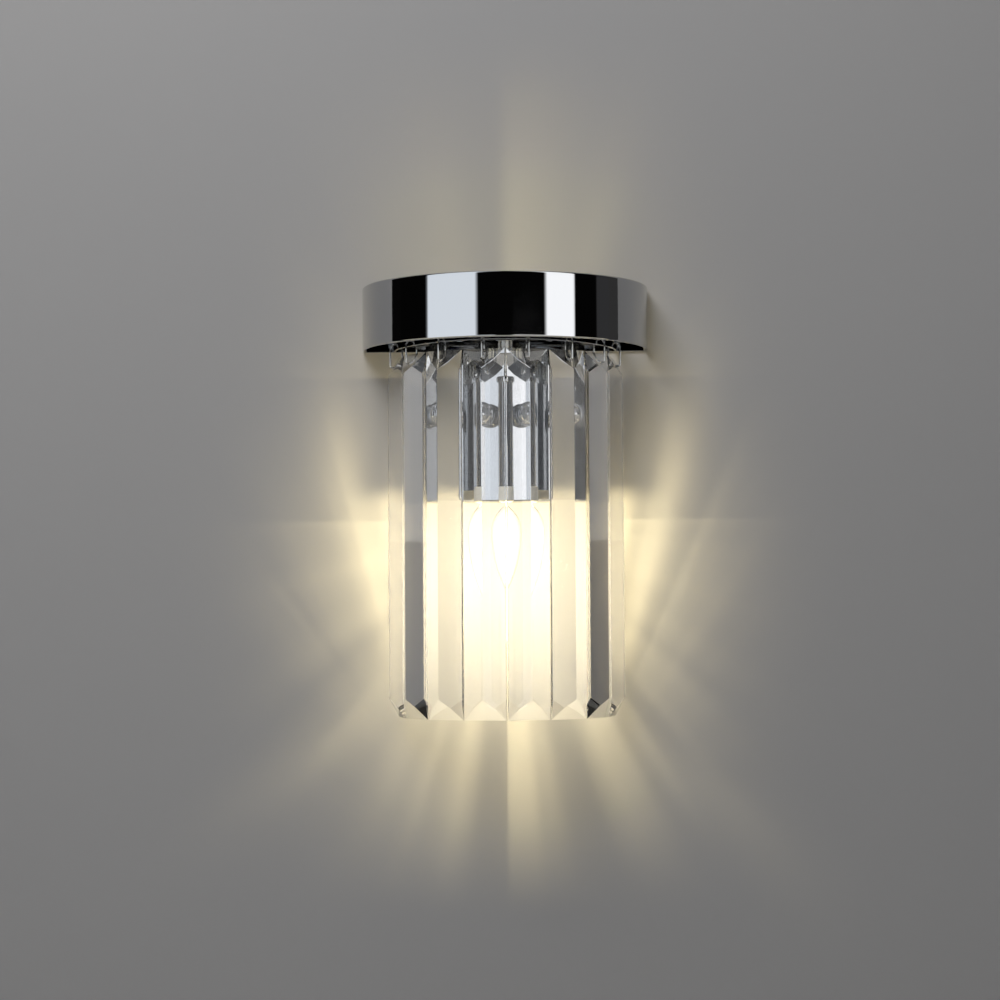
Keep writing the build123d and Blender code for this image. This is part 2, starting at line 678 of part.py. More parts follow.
# ---------------------------------------------------------------- wall bracket
bar_bottom = -BRACKET_HEIGHT / 2
block_top = bar_bottom - STUD_NUT_HEIGHT
block_screw_level = block_top - BLOCK_SCREW_DROP
slot_out = BRACKET_LENGTH / 2 - SLOT_SETBACK
with BuildPart() as wall_bracket:
    with BuildSketch(Plane.XZ):
        RectangleRounded(BRACKET_LENGTH, BRACKET_HEIGHT, 2 * BRACKET_WALL)
        with Locations((0, bar_bottom)):
            Rectangle(TAB_WIDTH, TAB_DROP, align=(Align.CENTER, Align.MAX))
        with Locations((-slot_out, 0), (slot_out, 0)):
            SlotOverall(SLOT_LENGTH, 2 * SLOT_RADIUS, mode=Mode.SUBTRACT)
        with Locations((-STUD_SPREAD, 0), (STUD_SPREAD, 0)):
            Circle(STUD_RADIUS + SEAT, mode=Mode.SUBTRACT)
        with Locations((EARTH_OUT, 0)):
            Circle(BRIDGE_SCREW_RADIUS + SEAT, mode=Mode.SUBTRACT)
        with Locations((0, block_screw_level)):
            Circle(BLOCK_SCREW_RADIUS + SEAT, mode=Mode.SUBTRACT)
    extrude(amount=BRACKET_WALL)
keep(wall_bracket.part, "wall_bracket")

with BuildPart() as bracket_studs:
    with BuildSketch(Plane.XZ):
        with Locations((-STUD_SPREAD, 0), (STUD_SPREAD, 0)):
            Circle(STUD_RADIUS)
    extrude(amount=STUD_LENGTH)
    chamfer(bracket_studs.faces().sort_by(Axis.Y)[:2].edges(), length=STUD_RADIUS / 5)
keep(bracket_studs.part, "bracket_studs")

stud_nut_places = [
    Plane((side * STUD_SPREAD, -BRACKET_WALL, 0), z_dir=(0, -1, 0)) for side in (-1, 1)
]
stud_nuts = hex_nut(STUD_NUT_FLATS, STUD_NUT_HEIGHT, STUD_RADIUS + SEAT, stud_nut_places)
keep(stud_nuts, "stud_nuts")


def make_ball_nut(side):
    """A ball with a flat back and a collar, bored blind for the stud."""
    middle = side * STUD_SPREAD
    collar_front = PAN_DEPTH + COLLAR_HEIGHT
    ball_middle = collar_front + BALL_FLAT
    bore = STUD_RADIUS + SEAT
    with BuildPart() as nut:
        with BuildSketch(Plane.XY):
            with BuildLine():
                back = Polyline(
                    (middle + bore, -PAN_DEPTH),
                    (middle + COLLAR_RADIUS, -PAN_DEPTH),
                    (middle + COLLAR_RADIUS, -collar_front),
                    (middle + sqrt(BALL_RADIUS**2 - BALL_FLAT**2), -collar_front),
                )
                ball = ThreePointArc(
                    back @ 1,
                    (middle + BALL_RADIUS, -ball_middle),
                    (middle, -ball_middle - BALL_RADIUS),
                )
                Polyline(
                    ball @ 1,
                    (middle, -PAN_DEPTH - BALL_BORE_DEPTH),
                    (middle + bore, -PAN_DEPTH - BALL_BORE_DEPTH),
                    back @ 0,
                )
            make_face()
        revolve(axis=Axis((middle, 0, 0), (0, 1, 0)))
    return nut.part


keep(make_ball_nut(-1), "ball_nut_left")
keep(make_ball_nut(1), "ball_nut_right")

# ---------------------------------------------------------------- terminal block
block_middle = BRACKET_WALL + BLOCK_DEPTH / 2
pole_places = [(pole * BLOCK_POLE_PITCH, -block_middle) for pole in (-1, 0, 1)]
with BuildPart() as terminal_block:
    with BuildSketch(Plane.XY.offset(block_top)):
        with Locations((0, -block_middle)):
            RectangleRounded(BLOCK_WIDTH, BLOCK_DEPTH, BLOCK_BORE / 2)
        with Locations(*pole_places):
            Circle(BLOCK_BORE, mode=Mode.SUBTRACT)
    extrude(amount=-BLOCK_HEIGHT)
    well_level = block_top - BLOCK_HEIGHT / 3
    with BuildSketch(Plane.XZ.offset(BRACKET_WALL + BLOCK_DEPTH)):
        with Locations(*[(x, well_level) for x, _ in pole_places]):
            Circle(BLOCK_WELL)
    extrude(amount=-BLOCK_WELL_DEPTH, mode=Mode.SUBTRACT)
    with BuildSketch(Plane.XZ.offset(BRACKET_WALL + BLOCK_DEPTH)):
        with Locations((0, block_screw_level)):
            Circle(BLOCK_SCREW_RADIUS + SEAT)
    extrude(amount=-BLOCK_DEPTH, mode=Mode.SUBTRACT)
keep(terminal_block.part, "terminal_block")

with BuildPart() as terminal_screws:
    with BuildSketch(Plane.XZ.offset(BRACKET_WALL + BLOCK_DEPTH - BLOCK_WELL_DEPTH)):
        with Locations(*[(x, well_level) for x, _ in pole_places]):
            Circle(BLOCK_WELL - 2 * SEAT)
    extrude(amount=BLOCK_WELL_DEPTH / 2)
keep(terminal_screws.part, "terminal_screws")

with BuildPart() as block_screw:
    with BuildSketch(Plane.XZ):
        with Locations((0, block_screw_level)):
            Circle(BLOCK_SCREW_RADIUS)
    extrude(amount=BRACKET_WALL + BLOCK_DEPTH)
    with BuildSketch(Plane.XZ.offset(BRACKET_WALL + BLOCK_DEPTH)):
        with Locations((0, block_screw_level)):
            Circle(2 * BLOCK_SCREW_RADIUS)
    extrude(amount=BLOCK_SCREW_RADIUS)
keep(block_screw.part, "block_screw")

# ---------------------------------------------------------------- earth screw and lug
with BuildPart() as earth_lug:
    with BuildSketch(Plane.XZ.offset(BRACKET_WALL)):
        with Locations((EARTH_OUT, 0)):
            Circle(EARTH_LUG_RADIUS)
            Rectangle(2 * LEAD_RADIUS, 2 * EARTH_LUG_RADIUS, align=(Align.CENTER, Align.MIN))
            Circle(BRIDGE_SCREW_RADIUS + SCREW_EASE, mode=Mode.SUBTRACT)
    extrude(amount=EARTH_LUG_WALL)
    lead_seat = BRACKET_WALL + EARTH_LUG_WALL + LEAD_RADIUS
    with BuildSketch(Plane.XY.offset(1.5 * EARTH_LUG_RADIUS)):
        with Locations((EARTH_OUT, -lead_seat + SEAT)):
            Circle(1.4 * LEAD_RADIUS)
            Circle(LEAD_RADIUS, mode=Mode.SUBTRACT)
    extrude(amount=EARTH_LUG_RADIUS / 2)
keep(earth_lug.part, "earth_lug")

with BuildPart() as earth_screw:
    with BuildSketch(Plane.XZ):
        with Locations((EARTH_OUT, 0)):
            Circle(BRIDGE_SCREW_RADIUS)
    extrude(amount=BRACKET_WALL + EARTH_LUG_WALL)
    with BuildSketch(Plane.XZ.offset(BRACKET_WALL + EARTH_LUG_WALL)):
        with Locations((EARTH_OUT, 0)):
            Circle(EARTH_HEAD_RADIUS)
    extrude(amount=SCREW_HEAD_HEIGHT)
    chamfer(earth_screw.faces().sort_by(Axis.Y)[0].edges(), length=SCREW_HEAD_HEIGHT / 3)
keep(earth_screw.part, "earth_screw")


# ---------------------------------------------------------------- inner leads
def make_lead(points, bends):
    """A lead along straight runs joined by arcs."""
    with BuildLine() as route:
        FilletPolyline(*points, radius=bends)
    return wire_along(route.line, LEAD_RADIUS - SEAT)


arch_level = web_top + LEAD_ARCH
lead_end = holder_split + TERMINAL_HEIGHT
block_entry = block_top - BLOCK_BORE
lead_turn = bridge_level / 2
for side, pole, name in ((-1, -1, "live_lead"), (1, 0, "neutral_lead")):
    lead_x = side * LEAD_SPREAD
    pole_x = pole * BLOCK_POLE_PITCH
    lead_route = [
        (lead_x, -LAMP_OUT, lead_end),
        (lead_x, -LAMP_OUT, arch_level),
        (lead_x, -grommet_out, arch_level),
        (lead_x, -grommet_out, lead_turn),
        (pole_x, -block_middle, BRACKET_HEIGHT / 2),
        (pole_x, -block_middle, block_entry),
    ]
    keep(make_lead(lead_route, [LEAD_BEND, LEAD_BEND, LEAD_BEND, LEAD_BEND]), name)

loop_top = 1.5 * EARTH_LUG_RADIUS + EARTH_LOOP
earth_route = [
    (EARTH_OUT, -lead_seat + SEAT, 1.5 * EARTH_LUG_RADIUS),
    (EARTH_OUT, -lead_seat + SEAT, loop_top),
    (BLOCK_POLE_PITCH, -block_middle, loop_top),
    (BLOCK_POLE_PITCH, -block_middle, block_entry),
]
earth_bend = 4 * LEAD_RADIUS
keep(make_lead(earth_route, [earth_bend, earth_bend]), "earth_lead")
print(f"tightest bends: lamp leads {LEAD_BEND:.1f} mm, earth lead {earth_bend:.1f} mm")
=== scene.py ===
from math import asin, cos, degrees, pi, radians, sin, sqrt
import bmesh
import bpy
from mathutils import Matrix, Vector


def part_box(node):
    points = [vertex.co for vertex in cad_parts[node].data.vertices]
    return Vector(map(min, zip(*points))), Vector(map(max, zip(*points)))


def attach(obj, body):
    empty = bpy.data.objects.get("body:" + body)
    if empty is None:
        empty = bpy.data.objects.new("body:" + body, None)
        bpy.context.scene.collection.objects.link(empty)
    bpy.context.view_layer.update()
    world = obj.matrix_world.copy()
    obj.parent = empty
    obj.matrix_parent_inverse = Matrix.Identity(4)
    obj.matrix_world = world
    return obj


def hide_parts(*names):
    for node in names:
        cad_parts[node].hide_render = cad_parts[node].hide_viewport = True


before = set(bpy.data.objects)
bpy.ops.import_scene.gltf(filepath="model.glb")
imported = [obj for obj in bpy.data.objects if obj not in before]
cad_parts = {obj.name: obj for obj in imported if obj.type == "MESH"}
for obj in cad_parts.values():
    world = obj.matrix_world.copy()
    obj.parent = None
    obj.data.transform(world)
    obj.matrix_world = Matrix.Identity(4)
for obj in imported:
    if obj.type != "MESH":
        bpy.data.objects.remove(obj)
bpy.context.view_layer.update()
scene = bpy.context.scene
scene.view_settings.view_transform = "Standard"

# ======================== camera
# A long lens, straight in front of the lamp and level with the middle of the crystals, tipped up a
# little so that the band stands above the middle of the picture.
photo_lens = bpy.data.cameras.new("photo_camera")
photo_lens.sensor_width = 36
photo_lens.lens = 91.44
camera = bpy.data.objects.new("photo_camera", photo_lens)
scene.collection.objects.link(camera)
camera_place = Matrix.Translation((-0.0042, -1.778, -0.135))
camera_tip = Matrix.Rotation(radians(92.48), 4, "X")
camera_roll = Matrix.Rotation(radians(-0.35), 4, "Z")
camera.matrix_world = camera_place @ camera_tip @ camera_roll
scene.camera = camera


# ======================== wall, floor and studio light
# A plain painted wall that the light hangs on, and a plain pale floor below it, neither of them part of
# the object. The wall is open only where the pan and the strip cover it, and from behind, so that the
# back can be seen.
def join(tree, source, target):
    """Link a socket, or set a plain value."""
    if isinstance(source, (int, float, tuple)):
        target.default_value = source
    else:
        tree.links.new(source, target)


def sum_up(tree, operation, first, second=0.0):
    """One math node."""
    node = tree.nodes.new("ShaderNodeMath")
    node.operation = operation
    join(tree, first, node.inputs[0])
    join(tree, second, node.inputs[1])
    return node.outputs[0]


def product(tree, *factors):
    """All the factors multiplied."""
    result = factors[0]
    for factor in factors[1:]:
        result = sum_up(tree, "MULTIPLY", result, factor)
    return result


def place_on(tree, kind="Object"):
    """The place or direction at which a ray lands."""
    return tree.nodes.new("ShaderNodeTexCoord").outputs[kind]


def blank_material(name):
    """A node material with a Principled shader; gives the material, its tree and the shader."""
    material = bpy.data.materials.new(name)
    material.use_nodes = True
    tree = material.node_tree
    return material, tree, tree.nodes["Principled BSDF"]


def grained(tree, scale, detail, colours):
    """A noise over the surface, and a colour that follows it from the first one given to the second."""
    noise = tree.nodes.new("ShaderNodeTexNoise")
    noise.inputs["Scale"].default_value = scale
    noise.inputs["Detail"].default_value = detail
    tree.links.new(place_on(tree), noise.inputs["Vector"])
    ramp = tree.nodes.new("ShaderNodeValToRGB")
    for stop, colour in zip(ramp.color_ramp.elements, colours):
        stop.color = colour
    tree.links.new(noise.outputs["Fac"], ramp.inputs["Fac"])
    return noise.outputs["Fac"], ramp.outputs["Color"]


def shades(colour, spread):
    """A colour made a little darker and a little lighter."""
    return [(*[min(1.0, part * level) for part in colour], 1) for level in (1 - spread, 1 + spread)]


def painted(name, colour, spread):
    """Matt emulsion paint with a faint cloudiness; gives the material, its tree and its coat."""
    material, tree, shader = blank_material(name)
    clouds = grained(tree, 3.0, 2.0, shades(colour, spread))[1]
    tree.links.new(clouds, shader.inputs["Base Color"])
    shader.inputs["Roughness"].default_value = 0.85
    shader.inputs["Specular IOR Level"].default_value = 0.2
    return material, tree, shader.outputs["BSDF"]


wall_paint, wall, wall_coat = painted("wall_paint", (0.27, 0.267, 0.268), 0.02)


def axes_of(tree, place):
    """The three parts of a place or a direction."""
    split = tree.nodes.new("ShaderNodeSeparateXYZ")
    tree.links.new(place, split.inputs[0])
    return split.outputs


wall_x, _, wall_z = axes_of(wall, place_on(wall))
wall_side = sum_up(wall, "ABSOLUTE", wall_x)


def within(tree, value, low, high):
    """1 where the value lies between the two limits."""
    return product(tree, sum_up(tree, "GREATER_THAN", value, low), sum_up(tree, "LESS_THAN", value, high))


def mirrored_rays(tree):
    """1 for rays that come by way of a polished or a clear surface."""
    path = tree.nodes.new("ShaderNodeLightPath")
    return sum_up(tree, "MAXIMUM", path.outputs["Is Glossy Ray"], path.outputs["Is Transmission Ray"])


def emission(tree, colour, strength, kind="ShaderNodeEmission"):
    """A surface or a room that gives light."""
    node = tree.nodes.new(kind)
    join(tree, colour, node.inputs["Color"])
    join(tree, strength, node.inputs["Strength"])
    return node.outputs[0]


def mix_shaders(tree, share, first, second):
    """The first shader, going over into the second with the share."""
    node = tree.nodes.new("ShaderNodeMixShader")
    for source, socket in zip((share, first, second), node.inputs):
        join(tree, source, socket)
    return node.outputs[0]


# painted reflections: to polished and clear surfaces the wall shows painted dark cloth past its end on
# the left, a painted dark panel on the right, and a painted half-black card at each side of the lower
# crystals
DARK_REFLECTION_EDGE = 0.385
DARK_REFLECTION_FOOT = -0.26
far_off = 5.0
past_wall = product(
    wall, within(wall, wall_side, DARK_REFLECTION_EDGE, far_off), within(wall, wall_z, DARK_REFLECTION_FOOT, far_off)
)
painted_side_card = product(
    wall, within(wall, wall_side, 0.125, 0.26), within(wall, wall_z, -0.21, -0.085), 0.5
)
painted_reflection_share = product(wall, sum_up(wall, "MAXIMUM", past_wall, painted_side_card), mirrored_rays(wall))
painted_right_panel = product(wall, sum_up(wall, "GREATER_THAN", wall_x, DARK_REFLECTION_EDGE), 0.042)
painted_reflection_face = emission(wall, (1, 0.98, 0.98, 1), sum_up(wall, "ADD", painted_right_panel, 0.003))
wall_with_painted_reflections = mix_shaders(wall, painted_reflection_share, wall_coat, painted_reflection_face)


def bell(tree, value, middle, spread):
    """A smooth hump: 1 at the middle, falling off over the spread."""
    off = sum_up(tree, "DIVIDE", sum_up(tree, "SUBTRACT", value, middle), spread)
    return sum_up(tree, "EXPONENT", product(tree, off, off, -0.5))


# painted light: seen through the crystals, the wall beside the bulb is painted a little brighter still
PAN_FOOT = -0.058
bulb_level = -0.115
painted_glow_strength = product(
    wall,
    bell(wall, wall_x, 0.0, 0.050),
    bell(wall, wall_z, bulb_level, 0.055),
    0.34,
    sum_up(wall, "LESS_THAN", wall_z, PAN_FOOT),
    wall.nodes.new("ShaderNodeLightPath").outputs["Is Transmission Ray"],
)
wall_with_painted_glow = wall.nodes.new("ShaderNodeAddShader")
wall.links.new(wall_with_painted_reflections, wall_with_painted_glow.inputs[0])
wall.links.new(emission(wall, (1.0, 0.94, 0.88, 1), painted_glow_strength), wall_with_painted_glow.inputs[1])


def put_out(tree, shader):
    """Make a shader the material's surface."""
    tree.links.new(shader, tree.nodes["Material Output"].inputs["Surface"])


# the openings behind the pan and the strip
behind_pan = product(
    wall, within(wall, wall_x, -0.050, 0.050), within(wall, wall_z, PAN_FOOT, -PAN_FOOT)
)
behind_strip = product(
    wall, within(wall, wall_x, -0.096, 0.096), within(wall, wall_z, 0.048, 0.088)
)
hidden_wall = sum_up(wall, "MAXIMUM", behind_pan, behind_strip)
seen_from_behind = wall.nodes.new("ShaderNodeNewGeometry").outputs["Backfacing"]
wall_open = sum_up(wall, "MAXIMUM", hidden_wall, seen_from_behind)
wall_clear = wall.nodes.new("ShaderNodeBsdfTransparent").outputs["BSDF"]
put_out(wall, mix_shaders(wall, wall_open, wall_with_painted_glow.outputs["Shader"], wall_clear))


def new_object(name, bm):
    """Put a finished bmesh into the scene."""
    mesh = bpy.data.meshes.new(name)
    bm.to_mesh(mesh)
    bm.free()
    body = bpy.data.objects.new(name, mesh)
    scene.collection.objects.link(body)
    return body


def stage_plane(name, place, material):
    """A large flat sheet that isn't part of the object."""
    bm = bmesh.new()
    bmesh.ops.create_grid(bm, x_segments=1, y_segments=1, size=2.5, matrix=place)
    sheet = new_object(name, bm)
    sheet.data.materials.append(material)


wall_gap = 0.0005
floor_level = -1.0
stage_plane("wall", Matrix.Translation((0, wall_gap, 0)) @ Matrix.Rotation(pi / 2, 4, "X"), wall_paint)
# painted reflection: in polished and clear surfaces the floor is painted bright with the lamp's warm
# light
floor_paint, floor, floor_coat = painted("floor_paint", (0.78, 0.78, 0.77), 0.015)
painted_floor_glow = emission(floor, (1.0, 0.95, 0.84, 1), 0.42)
put_out(floor, mix_shaders(floor, mirrored_rays(floor), floor_coat, painted_floor_glow))
stage_plane("floor", Matrix.Translation((0, 0, floor_level)), floor_paint)

# The room is plain and pale for the eye. What polished metal and crystal show of it is a studio: two tall
# softboxes with dark cloth between them, at these angles from straight out, to the right as seen.
world = bpy.data.worlds.new("studio")
world.use_nodes = True
scene.world = world
room = world.node_tree
room.nodes.clear()
way_x, way_y, way_z = axes_of(room, place_on(room, "Generated"))
heading = sum_up(room, "ARCTAN2", way_x, product(room, way_y, -1.0))
turn_share = sum_up(room, "ADD", sum_up(room, "DIVIDE", heading, 2 * pi), 0.5)
wall_grey = (0.20, 0.20, 0.205, 1)
dark_cloth = (0.002, 0.002, 0.002, 1)
left_softbox = (1.10, 1.17, 1.26, 1)
right_softbox = (1.62, 1.63, 1.66, 1)
dark_panel = (0.045, 0.045, 0.047, 1)
low_light = (1.1, 1.02, 0.82, 1)
band_edge = 0.7  # degrees over which one band goes over into the next


def room_ring(bands):
    """The room round the object at one height: each colour from the angle given to the next one."""
    ring = room.nodes.new("ShaderNodeValToRGB")
    room.links.new(turn_share, ring.inputs["Fac"])
    stops = ring.color_ramp.elements
    stops[0].position = 0.0
    stops[1].position = 1.0
    stops[0].color = stops[1].color = bands[0][1]
    for (start, colour), (_, before) in zip(bands[1:], bands):
        for place, shade in ((start - band_edge, before), (start + band_edge, colour)):
            stop = stops.new(place / 360 + 0.5)
            stop.color = shade
    return ring.outputs["Color"]


upper_room = room_ring([
    (-180.0, wall_grey), (-101.8, dark_cloth), (-64.2, left_softbox), (-22.6, dark_cloth),
    (32.5, right_softbox), (56.8, dark_cloth), (78.0, dark_panel), (100.6, wall_grey),
])
lower_room = room_ring([
    (-180.0, wall_grey), (-101.8, dark_cloth), (-64.2, left_softbox), (-8.0, dark_cloth),
    (6.0, right_softbox), (56.8, dark_cloth), (78.0, dark_panel), (100.6, wall_grey),
])


def carried(tree, value, given, wanted=(0.0, 1.0), smooth=False):
    """A value carried over from the range given to the range wanted, and held at its ends."""
    ramp = tree.nodes.new("ShaderNodeMapRange")
    if smooth:
        ramp.interpolation_type = "SMOOTHSTEP"
    for socket, level in zip(("From Min", "From Max", "To Min", "To Max"), (*given, *wanted)):
        ramp.inputs[socket].default_value = level
    tree.links.new(value, ramp.inputs["Value"])
    return ramp.outputs["Result"]


def mix_colours(tree, share, first, second):
    """The first colour, going over into the second with the share."""
    node = tree.nodes.new("ShaderNodeMix")
    node.data_type = "RGBA"
    for source, socket in ((share, "Factor"), (first, "A"), (second, "B")):
        join(tree, source, node.inputs[socket])
    return node.outputs["Result"]


# low down the room is dark in front and lit on both sides
studio = mix_colours(room, carried(room, way_z, (0.090, 0.096)), lower_room, upper_room)
on_the_sides = sum_up(room, "GREATER_THAN", sum_up(room, "ABSOLUTE", way_x), 0.5)
low_room = mix_colours(room, on_the_sides, dark_panel, low_light)
studio = mix_colours(room, carried(room, way_z, (-0.22, -0.26)), studio, low_room)
shown_room = emission(room, studio, 1.0, "ShaderNodeBackground")
eye_level = 1.0
lighting_level = 0.12
eye_ray = room.nodes.new("ShaderNodeLightPath").outputs["Is Camera Ray"]
plain_strength = sum_up(room, "ADD", product(room, eye_ray, eye_level - lighting_level), lighting_level)
plain_room = emission(room, (0.86, 0.87, 0.88, 1), plain_strength, "ShaderNodeBackground")
room_shader = mix_shaders(room, mirrored_rays(room), plain_room, shown_room)
room.links.new(room_shader, room.nodes.new("ShaderNodeOutputWorld").inputs["Surface"])


def add_lamp(name, kind, place, power):
    """A lamp that isn't seen or mirrored itself."""
    data = bpy.data.lights.new(name, kind)
    data.energy = power
    lamp = bpy.data.objects.new(name, data)
    lamp.location = place
    scene.collection.objects.link(lamp)
    lamp.visible_glossy = False
    lamp.visible_transmission = False
    lamp.visible_camera = False
    return lamp


def soft_light(name, place, size, power):
    """A large soft lamp that points at the middle of the object."""
    lamp = add_lamp(name, "AREA", place, power)
    lamp.data.size = size
    towards = Vector((0, -0.05, -0.05)) - Vector(place)
    turn = towards.to_track_quat("-Z", "Y").to_matrix().to_4x4()
    lamp.matrix_world = Matrix.Translation(place) @ turn


soft_light("key_light", (-0.5, -1.15, 1.2), 0.9, 31.0)
soft_light("back_light", (0.7, 1.6, 0.6), 1.4, 14.0)

# ======================== polished band
# A strip of sheet steel rolled to a half round, its long edges folded inwards to smooth rounded hems,
# then buffed and chromium plated. Its two short ends run on to the wall.
POLISH = bpy.data.node_groups.new("polish_marks", "ShaderNodeTree")
for socket, kind in (("Vector", "Vector"), ("Scale", "Float"), ("Dull", "Float")):
    POLISH.interface.new_socket(socket, in_out="INPUT", socket_type=f"NodeSocket{kind}")
for socket in ("Roughness", "Height"):
    POLISH.interface.new_socket(socket, in_out="OUTPUT", socket_type="NodeSocketFloat")
marks_in = POLISH.nodes.new("NodeGroupInput")
marks_out = POLISH.nodes.new("NodeGroupOutput")
smears = POLISH.nodes.new("ShaderNodeTexNoise")
smears.inputs["Detail"].default_value = 4.0
POLISH.links.new(marks_in.outputs["Vector"], smears.inputs["Vector"])
POLISH.links.new(marks_in.outputs["Scale"], smears.inputs["Scale"])
smear_edge = carried(POLISH, smears.outputs["Fac"], (0.48, 0.72))
smear_level = product(POLISH, smear_edge, marks_in.outputs["Dull"])
POLISH.links.new(smear_level, marks_out.inputs["Roughness"])
POLISH.links.new(smears.outputs["Fac"], marks_out.inputs["Height"])


def raised(tree, shader, height, ripple):
    """Let a height bend a shader's reflections."""
    bump = tree.nodes.new("ShaderNodeBump")
    bump.inputs["Distance"].default_value = ripple
    tree.links.new(height, bump.inputs["Height"])
    tree.links.new(bump.outputs["Normal"], shader.inputs["Normal"])


def smeared(tree, shader, roughness, scale, dull, ripple):
    """Dull a shader in places with faint smears and bend its reflections with a slight ripple."""
    marks = tree.nodes.new("ShaderNodeGroup")
    marks.node_tree = POLISH
    marks.inputs["Scale"].default_value = scale
    marks.inputs["Dull"].default_value = dull
    tree.links.new(place_on(tree), marks.inputs["Vector"])
    tree.links.new(sum_up(tree, "ADD", marks.outputs["Roughness"], roughness), shader.inputs["Roughness"])
    raised(tree, shader, marks.outputs["Height"], ripple)


def polished(name, colour, roughness, scale, dull, ripple):
    """A polished metal surface."""
    material, tree, shader = blank_material(name)
    shader.inputs["Base Color"].default_value = (*colour, 1)
    shader.inputs["Metallic"].default_value = 1.0
    smeared(tree, shader, roughness, scale, dull, ripple)
    return material


chrome = polished("polished_chrome", (0.56, 0.565, 0.57), 0.012, 24.0, 0.03, 0.00001)


def make_piece(name, bm, body, material, nodes, sharp=32):
    """Turn a finished bmesh into a piece that stands for the CAD nodes named."""
    piece = new_object(name, bm)
    piece.data.shade_smooth()
    piece.data.set_sharp_from_angle(angle=radians(sharp))
    piece.data.materials.append(material)
    flats = piece.modifiers.new("flats_keep_their_normals", "WEIGHTED_NORMAL")
    flats.keep_sharp = True
    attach(piece, body)
    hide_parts(*nodes)
    return piece


def arc(centre, radius, start, end, steps=8):
    """Points along a round stretch of an outline, from one angle to another in degrees."""
    return [
        (centre[0] + radius * cos(radians(start + (end - start) * i / steps)),
         centre[1] + radius * sin(radians(start + (end - start) * i / steps)))
        for i in range(steps + 1)
    ]


def only(kind, geometry):
    """The vertices or the edges among what an operator gives back."""
    return [item for item in geometry if isinstance(item, kind)]


def draw_outline(bm, points, origin, sideways, upwards, closed=True):
    """Lay an outline's points in space and join them by edges."""
    corners = [bm.verts.new(origin + sideways * a + upwards * b) for a, b in points]
    ends = corners[1:] + corners[:1] if closed else corners[1:]
    edges = [bm.edges.new(pair) for pair in zip(corners, ends)]
    return corners + edges


def rounded_off(bm, edges, width, segments, clamp_overlap=False):
    """Round edges over a width."""
    bmesh.ops.bevel(
        bm, geom=edges, offset=width, segments=segments, profile=0.5, affect="EDGES", material=-1,
        clamp_overlap=clamp_overlap,
    )


def tidy_shell(bm, bevel=0.0, angle=30, segments=2):
    """Merge a closed shell's doubles, turn it outwards and round its sharp edges."""
    bmesh.ops.remove_doubles(bm, verts=bm.verts, dist=1e-6)
    bmesh.ops.recalc_face_normals(bm, faces=bm.faces)
    if bevel:
        sharp = [e for e in bm.edges if len(e.link_faces) == 2 and e.calc_face_angle(0) > radians(angle)]
        rounded_off(bm, sharp, bevel, segments, clamp_overlap=True)
    return bm


UP = Vector((0, 0, 1))
RIGHT = Vector((1, 0, 0))
FRONT = Vector((0, -1, 0))
RING_CENTRE = Vector((0, -0.002, 0))
BAND_RADIUS = 0.100
BAND_BOTTOM = 0.046
BAND_TOP = 0.090
HEM_WALL = 0.0024
HEM_HEIGHT = 0.0036


def half_ring(points, ends_at, steps=128):
    """A strip that runs round the half circle in front of the wall and straight back to it."""
    bm = bmesh.new()
    outline = draw_outline(bm, points, RING_CENTRE, Vector((-1, 0, 0)), UP)
    first_end = only(bmesh.types.BMEdge, outline)
    spun = bmesh.ops.spin(
        bm, geom=outline, cent=RING_CENTRE, axis=UP, angle=pi, steps=steps, use_merge=False,
        use_duplicate=False,
    )
    last_end = only(bmesh.types.BMEdge, spun["geom_last"])
    for end in (first_end, last_end):
        run = bmesh.ops.extrude_edge_only(bm, edges=end)["geom"]
        shift = (0, ends_at - RING_CENTRE.y, 0)
        bmesh.ops.translate(bm, verts=only(bmesh.types.BMVert, run), vec=shift)
        bmesh.ops.contextual_create(bm, geom=only(bmesh.types.BMEdge, run))
    return bm


hem = HEM_WALL / 2
band_outline = (
    arc((BAND_RADIUS - hem, BAND_BOTTOM + hem), hem, 0, -180)
    + arc((BAND_RADIUS - hem, BAND_BOTTOM + HEM_HEIGHT - hem), hem, 180, 90, 4)
    + arc((BAND_RADIUS - hem, BAND_TOP - HEM_HEIGHT + hem), hem, 270, 180, 4)
    + arc((BAND_RADIUS - hem, BAND_TOP - hem), hem, 180, 0)
)
band = tidy_shell(half_ring(band_outline, 0.0))
make_piece("rolled_band", band, "frame", chrome, ["band"])

# ======================== strip at the wall
# A flat strip of the same plated steel, welded between the ends of the band. Its middle is cut away
# where the pan stands, and its corners clear the band's hems.
def drill(piece, cutter):
    """Take a cutter's shape out of a piece."""
    tool = new_object("drill", cutter)
    step = piece.modifiers.new("drill", "BOOLEAN")
    step.operation = "DIFFERENCE"
    step.solver = "EXACT"
    step.object = tool
    drilled = piece.evaluated_get(bpy.context.evaluated_depsgraph_get())
    result = bpy.data.meshes.new_from_object(drilled)
    piece.modifiers.remove(step)
    piece.data = result
    bpy.data.objects.remove(tool)


def copy_of(node, bevel=0.0, angle=30):
    """A merged copy of a CAD node's mesh, with its flat parts joined up and its edges softened."""
    bm = bmesh.new()
    bm.from_mesh(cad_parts[node].data)
    bmesh.ops.remove_doubles(bm, verts=bm.verts, dist=1e-6)
    bmesh.ops.dissolve_limit(
        bm, angle_limit=radians(0.5), verts=bm.verts, edges=bm.edges, use_dissolve_boundaries=False
    )
    return tidy_shell(bm, bevel, angle, 1)


def as_drawn(name, node, material, body="frame", bevel=0.0, angle=30):
    """A piece that keeps its CAD node's shape."""
    return make_piece(name, copy_of(node, bevel, angle), body, material, [node])


as_drawn("wall_strip", "back_strip", chrome, bevel=0.0002, angle=60)

# ======================== hoop that carries the crystals
# A narrower half-round strip inside the band, of plated steel, with one hole above each crystal.
plated = polished("plated_steel", (0.60, 0.60, 0.585), 0.06, 60.0, 0.10, 0.00002)
as_drawn("crystal_hoop", "hanger_hoop", chrome)

